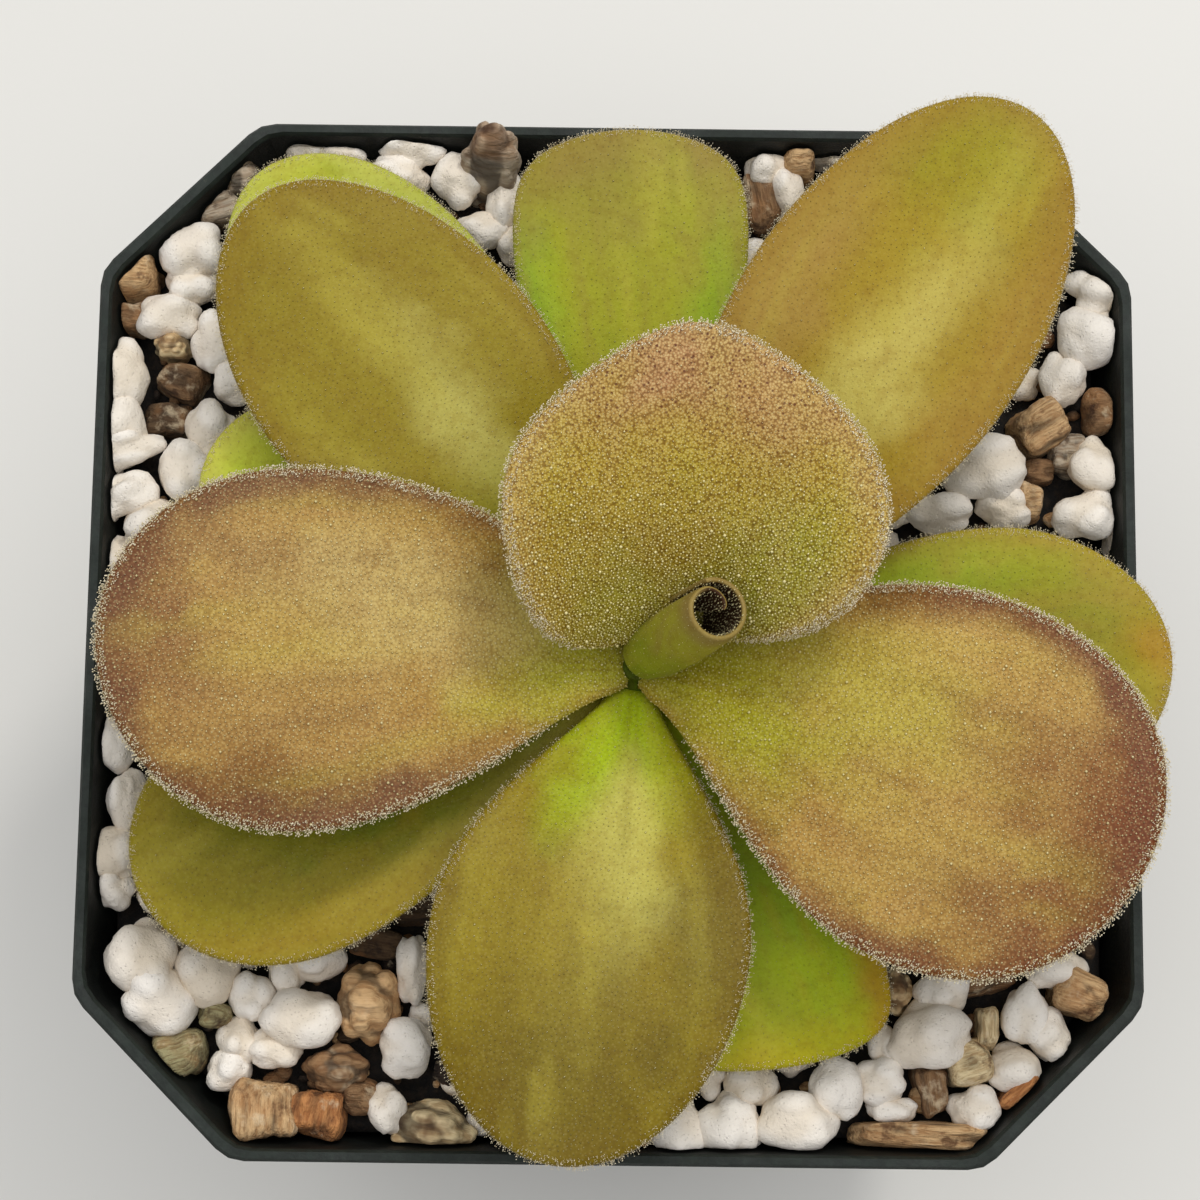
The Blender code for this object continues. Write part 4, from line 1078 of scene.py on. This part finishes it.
def lobed(directions, rng, lobes, size, creases):
    """How far a cluster of balls of about this size reaches from its middle in each direction.

    The higher creases is, the sharper are the valleys between the balls.
    """
    total = np.full(len(directions), (1 - size * 0.6) ** creases)
    for _ in range(lobes):
        radius = size * rng.uniform(0.8, 1.1)
        centre = unit(rng.normal(size=3)) * (1 - radius) * rng.uniform(0.75, 1.05)
        ahead = directions @ centre
        inside = ahead ** 2 - centre @ centre + radius ** 2
        total += np.where(inside > 0, ahead + np.sqrt(np.abs(inside)), 0.0) ** creases
    return total ** (1 / creases)


def filled(points, half_sizes):
    """Points moved and stretched so that they just fill a box of the given half sizes."""
    low, high = points.min(0), points.max(0)
    return (points - (low + high) / 2) / ((high - low) / 2) * np.array(half_sizes)


def turned(points, turn, lean=0.0):
    """Points leaned about the X axis, then turned about the vertical."""
    spin = Matrix.Rotation(math.radians(turn), 3, "Z") @ Matrix.Rotation(math.radians(lean), 3, "X")
    return points @ np.array(spin).T


def half_width(x, y):
    """Half the width of the pot's outline where that runs through a place."""
    x, y = np.abs(x), np.abs(y)
    return np.maximum(np.maximum(x, y), (x + y) / (2 - CHAMFER_SHARE))


def kept_inside(points):
    """Points moved in where they would stick through the pot's wall."""
    x, y, z = points.T
    wall = np.interp(z, (COLLAR_Z, POT_HEIGHT), (COLLAR_HALF, RIM_HALF)) - WALL - WALL_CLEAR
    share = np.where(z < POT_HEIGHT + WALL_CLEAR, np.minimum(1, wall / half_width(x, y)), 1.0)
    return points * np.stack([share, share, np.ones_like(share)], 1)


def loose_places(rng, tries, sizes, from_wall, from_crown):
    """Random places in the pot, each with a size, that keep off its wall and the crown."""
    for _ in range(tries):
        x, y = rng.uniform(-RIM_HALF, RIM_HALF, 2)
        size = rng.uniform(*sizes)
        clear = half_width(x, y) < RIM_HALF - WALL - (size + from_wall)
        if clear and math.hypot(x - CROWN_X, y - CROWN_Y) >= from_crown:
            yield x, y, size


def add_grain(pile, shape, centre, half_sizes, turn, rng, tone):
    """A puffed, knobbly grain of perlite."""
    directions, faces = shape
    reach = lobed(directions, rng, rng.integers(*GRAIN_LOBES), GRAIN_LOBE_SIZE, GRAIN_CREASES)
    points = directions * reach[:, None]
    shift = rng.uniform(0, 100, 3)
    uneven = relief(points + shift, GRAIN_RELIEF)
    points = filled(points * (1 + uneven)[:, None], half_sizes)
    # painted shade: the valleys between the balls get more of the tone's darker warm colour
    crease_shade = smooth(reach, 0.92, 0.74)
    pile.add(kept_inside(turned(points, turn) + centre), faces, 0, tone=tone + 0.5 * crease_shade)


def make_perlite():
    """The white grains that the photograph shows and the lower ones that fill in under them."""
    rng = np.random.default_rng(SEED + 1)
    fine, plain = ball(detail=4), ball(detail=3)
    pile = Pile()
    placed = []
    for grain in itertools.starmap(Grain, PERLITE):
        half_z = (grain.length + grain.width) / 4 + GRAIN_EXTRA
        x, y = photo_point(grain.px, grain.py, GRAIN_BOTTOM + half_z * GRAIN_AIM)[:2]
        sizes = (grain.length / 2 * GRAIN_SWELL, grain.width / 2 * GRAIN_SWELL, half_z)
        centre = (x, y, GRAIN_BOTTOM + half_z)
        add_grain(pile, fine, centre, sizes, grain.turn, rng, rng.random() ** 2 * 0.4)
        placed.append((x, y, max(grain.length, grain.width) / 2))
    for chip in itertools.starmap(Chip, BARK):
        placed.append((*chip_point(chip)[:2], max(chip.length, chip.width) / 2))
    for x, y, size in loose_places(rng, FILL_TRIES, FILL_SIZE, FILL_FROM_WALL, FILL_FROM_CROWN):
        if any(math.hypot(x - a, y - b) < (r + size) * FILL_OVERLAP for a, b, r in placed):
            continue
        placed.append((x, y, size))
        centre = (x, y, GRAIN_BOTTOM + size * rng.uniform(0.1, 0.5))
        sizes = (size, size * 0.9, size * 0.8)
        add_grain(pile, plain, centre, sizes, rng.uniform(0, 180), rng, rng.random() * 0.6)
    piece = pile.build("perlite_grains", [perlite_material()])
    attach(piece, "root")
    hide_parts("perlite")


def add_chip(pile, centre, half_sizes, chip, lean, rng):
    """A bark chip, shaped by how it has broken."""
    if chip.kind == KNOBBLY:
        directions, faces = ball(detail=5)
        fibre_scale = 0.35
        reach = lobed(directions, rng, CHIP_LOBES, CHIP_LOBE_SIZE, CHIP_CREASES)
        points = directions * reach[:, None]
        deep, middling = np.percentile(reach, (4, 55))
        hollow_shade = smooth(reach, middling, deep)
    else:
        corners, faces = block(cuts=13)
        fibre_scale = 1.0
        power = rng.uniform(*(WORN_POWER if chip.kind == WORN else BROKEN_POWER))
        swell = (np.abs(corners) ** power).sum(1) ** (1 / power)
        points = corners / swell[:, None]
        points[:, 0] *= 1 + rng.uniform(-CHIP_TAPER, CHIP_TAPER) * points[:, 1]
        points[:, 1] *= 1 + rng.uniform(-CHIP_TAPER, CHIP_TAPER) * points[:, 0]
        uneven = noise(points + rng.uniform(0, 50, 3), 0.8)
        points = points * (1 + CHIP_DENTS * uneven)[:, None]
        hollow_shade = 0.6 * smooth(uneven, -0.1, -0.9)
    local = filled(points, half_sizes)
    shift = rng.uniform(0, 100, 3)
    fibres = (local[:, [1, 0, 2]] if chip.kind == ACROSS else local) * fibre_scale
    crumbs = relief(local + shift, CHIP_CRUMBS)
    depth = 0.18 * crumbs
    if chip.kind in (ALONG, ACROSS):
        layers = noise((fibres + shift) * (0.12, 1.0, 0.6), 0.35)
        depth = depth + 0.16 * layers
        hollow_shade = np.maximum(hollow_shade, smooth(layers, 0.0, -0.8))
    local = local + unit(local) * depth[:, None]
    # painted shade: the chip's colour darkens in its valleys, dents, the gaps between its layers and its low
    # crumbs
    hollow_shade = np.maximum(hollow_shade, smooth(crumbs, -0.2, -1.0))[:, None]
    tint = linear(chip.colour) * (1.25 - 0.85 * hollow_shade)
    tint[:, 3] = 1.0
    placed = kept_inside(turned(local, chip.turn, lean) + centre)
    pile.add(placed, faces, 0, chip_place=fibres + shift, tint=tint)


def make_bark():
    """The chips that the photograph shows."""
    rng = np.random.default_rng(SEED + 2)
    pile = Pile()
    for chip in itertools.starmap(Chip, BARK):
        half_height = (chip.height + CHIP_ROOT) / 2
        centre = chip_point(chip)
        centre[2] = BED_TOP + chip.height - half_height
        lean = rng.uniform(-CHIP_LEAN, CHIP_LEAN)
        if chip.height > TALL_CHIP:
            lean = TALL_CHIP_LEAN
            centre[1] -= TALL_CHIP_SHIFT
        half_sizes = (chip.length / 2 * CHIP_SWELL, chip.width / 2 * CHIP_SWELL, half_height)
        add_chip(pile, centre, half_sizes, chip, lean, rng)
    piece = pile.build("bark_chips", [bark_material()])
    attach(piece, "root")


def make_crumbs():
    """Small crumbs of bark and peat that lie on the bed between the grains."""
    rng = np.random.default_rng(SEED + 3)
    directions, faces = ball(detail=2)
    pile = Pile()
    colours = (BROWN, DARK, DARK, TAN, BROWN, PEAT)
    for x, y, size in loose_places(rng, CRUMB_TRIES, CRUMB_SIZE, CRUMB_FROM_WALL, CRUMB_FROM_CROWN):
        sizes = size * rng.uniform(0.5, 1.0, 3)
        points = directions * (1 + 0.3 * noise(directions + rng.uniform(0, 50, 3), 0.7))[:, None] * sizes
        z = BED_TOP + 0.5 + size * 0.3 + rng.uniform(0, 0.6)
        tint = linear(colours[rng.integers(len(colours))])
        pile.add(points + (x, y, z), faces, 0, chip_place=points + rng.uniform(0, 50, 3), tint=tint)
    piece = pile.build("bark_crumbs", [bark_material()])
    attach(piece, "root")


def make_soil():
    """The peat body: plain where the pot hides it, uneven on top."""
    inner = WALL + GAP
    hidden = [
        outline(BASE_HALF - inner, FLOOR + GAP),
        outline(COLLAR_HALF - COLLAR_STEP - inner, COLLAR_Z - 0.9),
        outline(COLLAR_HALF - inner, COLLAR_Z + 1.2),
    ]
    top = COLLAR_HALF - inner + PEAT_SWELL
    bed = [outline(top * share, BED_TOP) for share in np.linspace(1.0, 0.02, PEAT_RINGS)]
    for number, ring in enumerate(bed):
        drop = PEAT_DIP if number == 0 else 0.0
        ring[:, 2] += relief(ring, PEAT_RELIEF) - drop
    pile = Pile()
    pile.add(*lofted(hidden + bed))
    piece = pile.build("peat", [soil_material()])
    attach(piece, "root")
    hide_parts("potting_mix")


def dressed(name, material):
    """A node that keeps its own solid, in its new material."""
    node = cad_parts[name]
    node.data.materials.clear()
    node.data.materials.append(material)
    return node


def dress_solids():
    """The pot, with softened edges, and the crown."""
    dressed("crown_and_roots", crown_material())
    soft = dressed("pot", pot_material()).modifiers.new("soft_edges", "BEVEL")
    soft.width = POT_BEVEL * MM
    soft.segments = 2
    soft.limit_method = "ANGLE"
    soft.angle_limit = math.radians(BEVEL_ANGLE)


def make_floor():
    """A pale table top that reaches well past the view."""
    work = bmesh.new()
    bmesh.ops.create_grid(work, x_segments=FLOOR_CELLS, y_segments=FLOOR_CELLS, size=FLOOR_REACH)
    mesh = bpy.data.meshes.new("floor")
    work.to_mesh(mesh)
    work.free()
    mesh.materials.append(floor_material())
    floor = added("floor", mesh)


def add_light(name, place, size, power, colour=(1.0, 1.0, 1.0)):
    """A square soft light that faces the rim of the pot."""
    data = bpy.data.lights.new(name, "AREA")
    data.size = size
    data.energy = power
    data.color = colour
    lamp = added(name, data)
    lamp.location = place
    aim = Vector((0, 0, POT_HEIGHT * MM)) - lamp.location
    lamp.rotation_euler = aim.to_track_quat("-Z", "Y").to_euler()


def make_lights():
    """Soft studio light: pale surroundings, a wide overhead light and a smaller key."""
    world = bpy.data.worlds.new("studio")
    world.use_nodes = True
    background = world.node_tree.nodes["Background"]
    background.inputs["Color"].default_value = linear(SURROUNDINGS)
    background.inputs["Strength"].default_value = SURROUNDINGS_STRENGTH
    bpy.context.scene.world = world
    add_light("overhead", place=(0.02, 0.12, 0.95), size=1.10, power=7.0)
    add_light("key", place=(0.22, 0.44, 0.80), size=0.12, power=1.9, colour=(1.0, 0.98, 0.94))


def make_camera():
    """The photograph's camera."""
    eye, right, up, back = camera_frame()
    data = bpy.data.cameras.new("photo_camera")
    data.sensor_width = SENSOR
    data.sensor_fit = "HORIZONTAL"
    data.lens = FOCAL_PIXELS / IMAGE_PIXELS * SENSOR
    data.clip_start = 0.01
    camera = added("photo_camera", data)
    turn = Matrix((right, up, back)).transposed()
    camera.matrix_world = Matrix.Translation(Vector(eye * MM)) @ turn.to_4x4()
    bpy.context.scene.camera = camera


def build():
    """Everything that the picture shows."""
    make_camera()
    make_lights()
    make_floor()
    dress_solids()
    make_soil()
    make_crumbs()
    make_bark()
    make_perlite()
    hairs = hair_material()
    for number, (name, leaf) in enumerate(LEAVES.items()):
        make_leaf(name, dict(PLAIN_LEAF, **leaf), hairs, SEED + 10 + number)
    make_roll(hairs)
    bpy.context.scene.view_settings.view_transform = "Standard"


build()
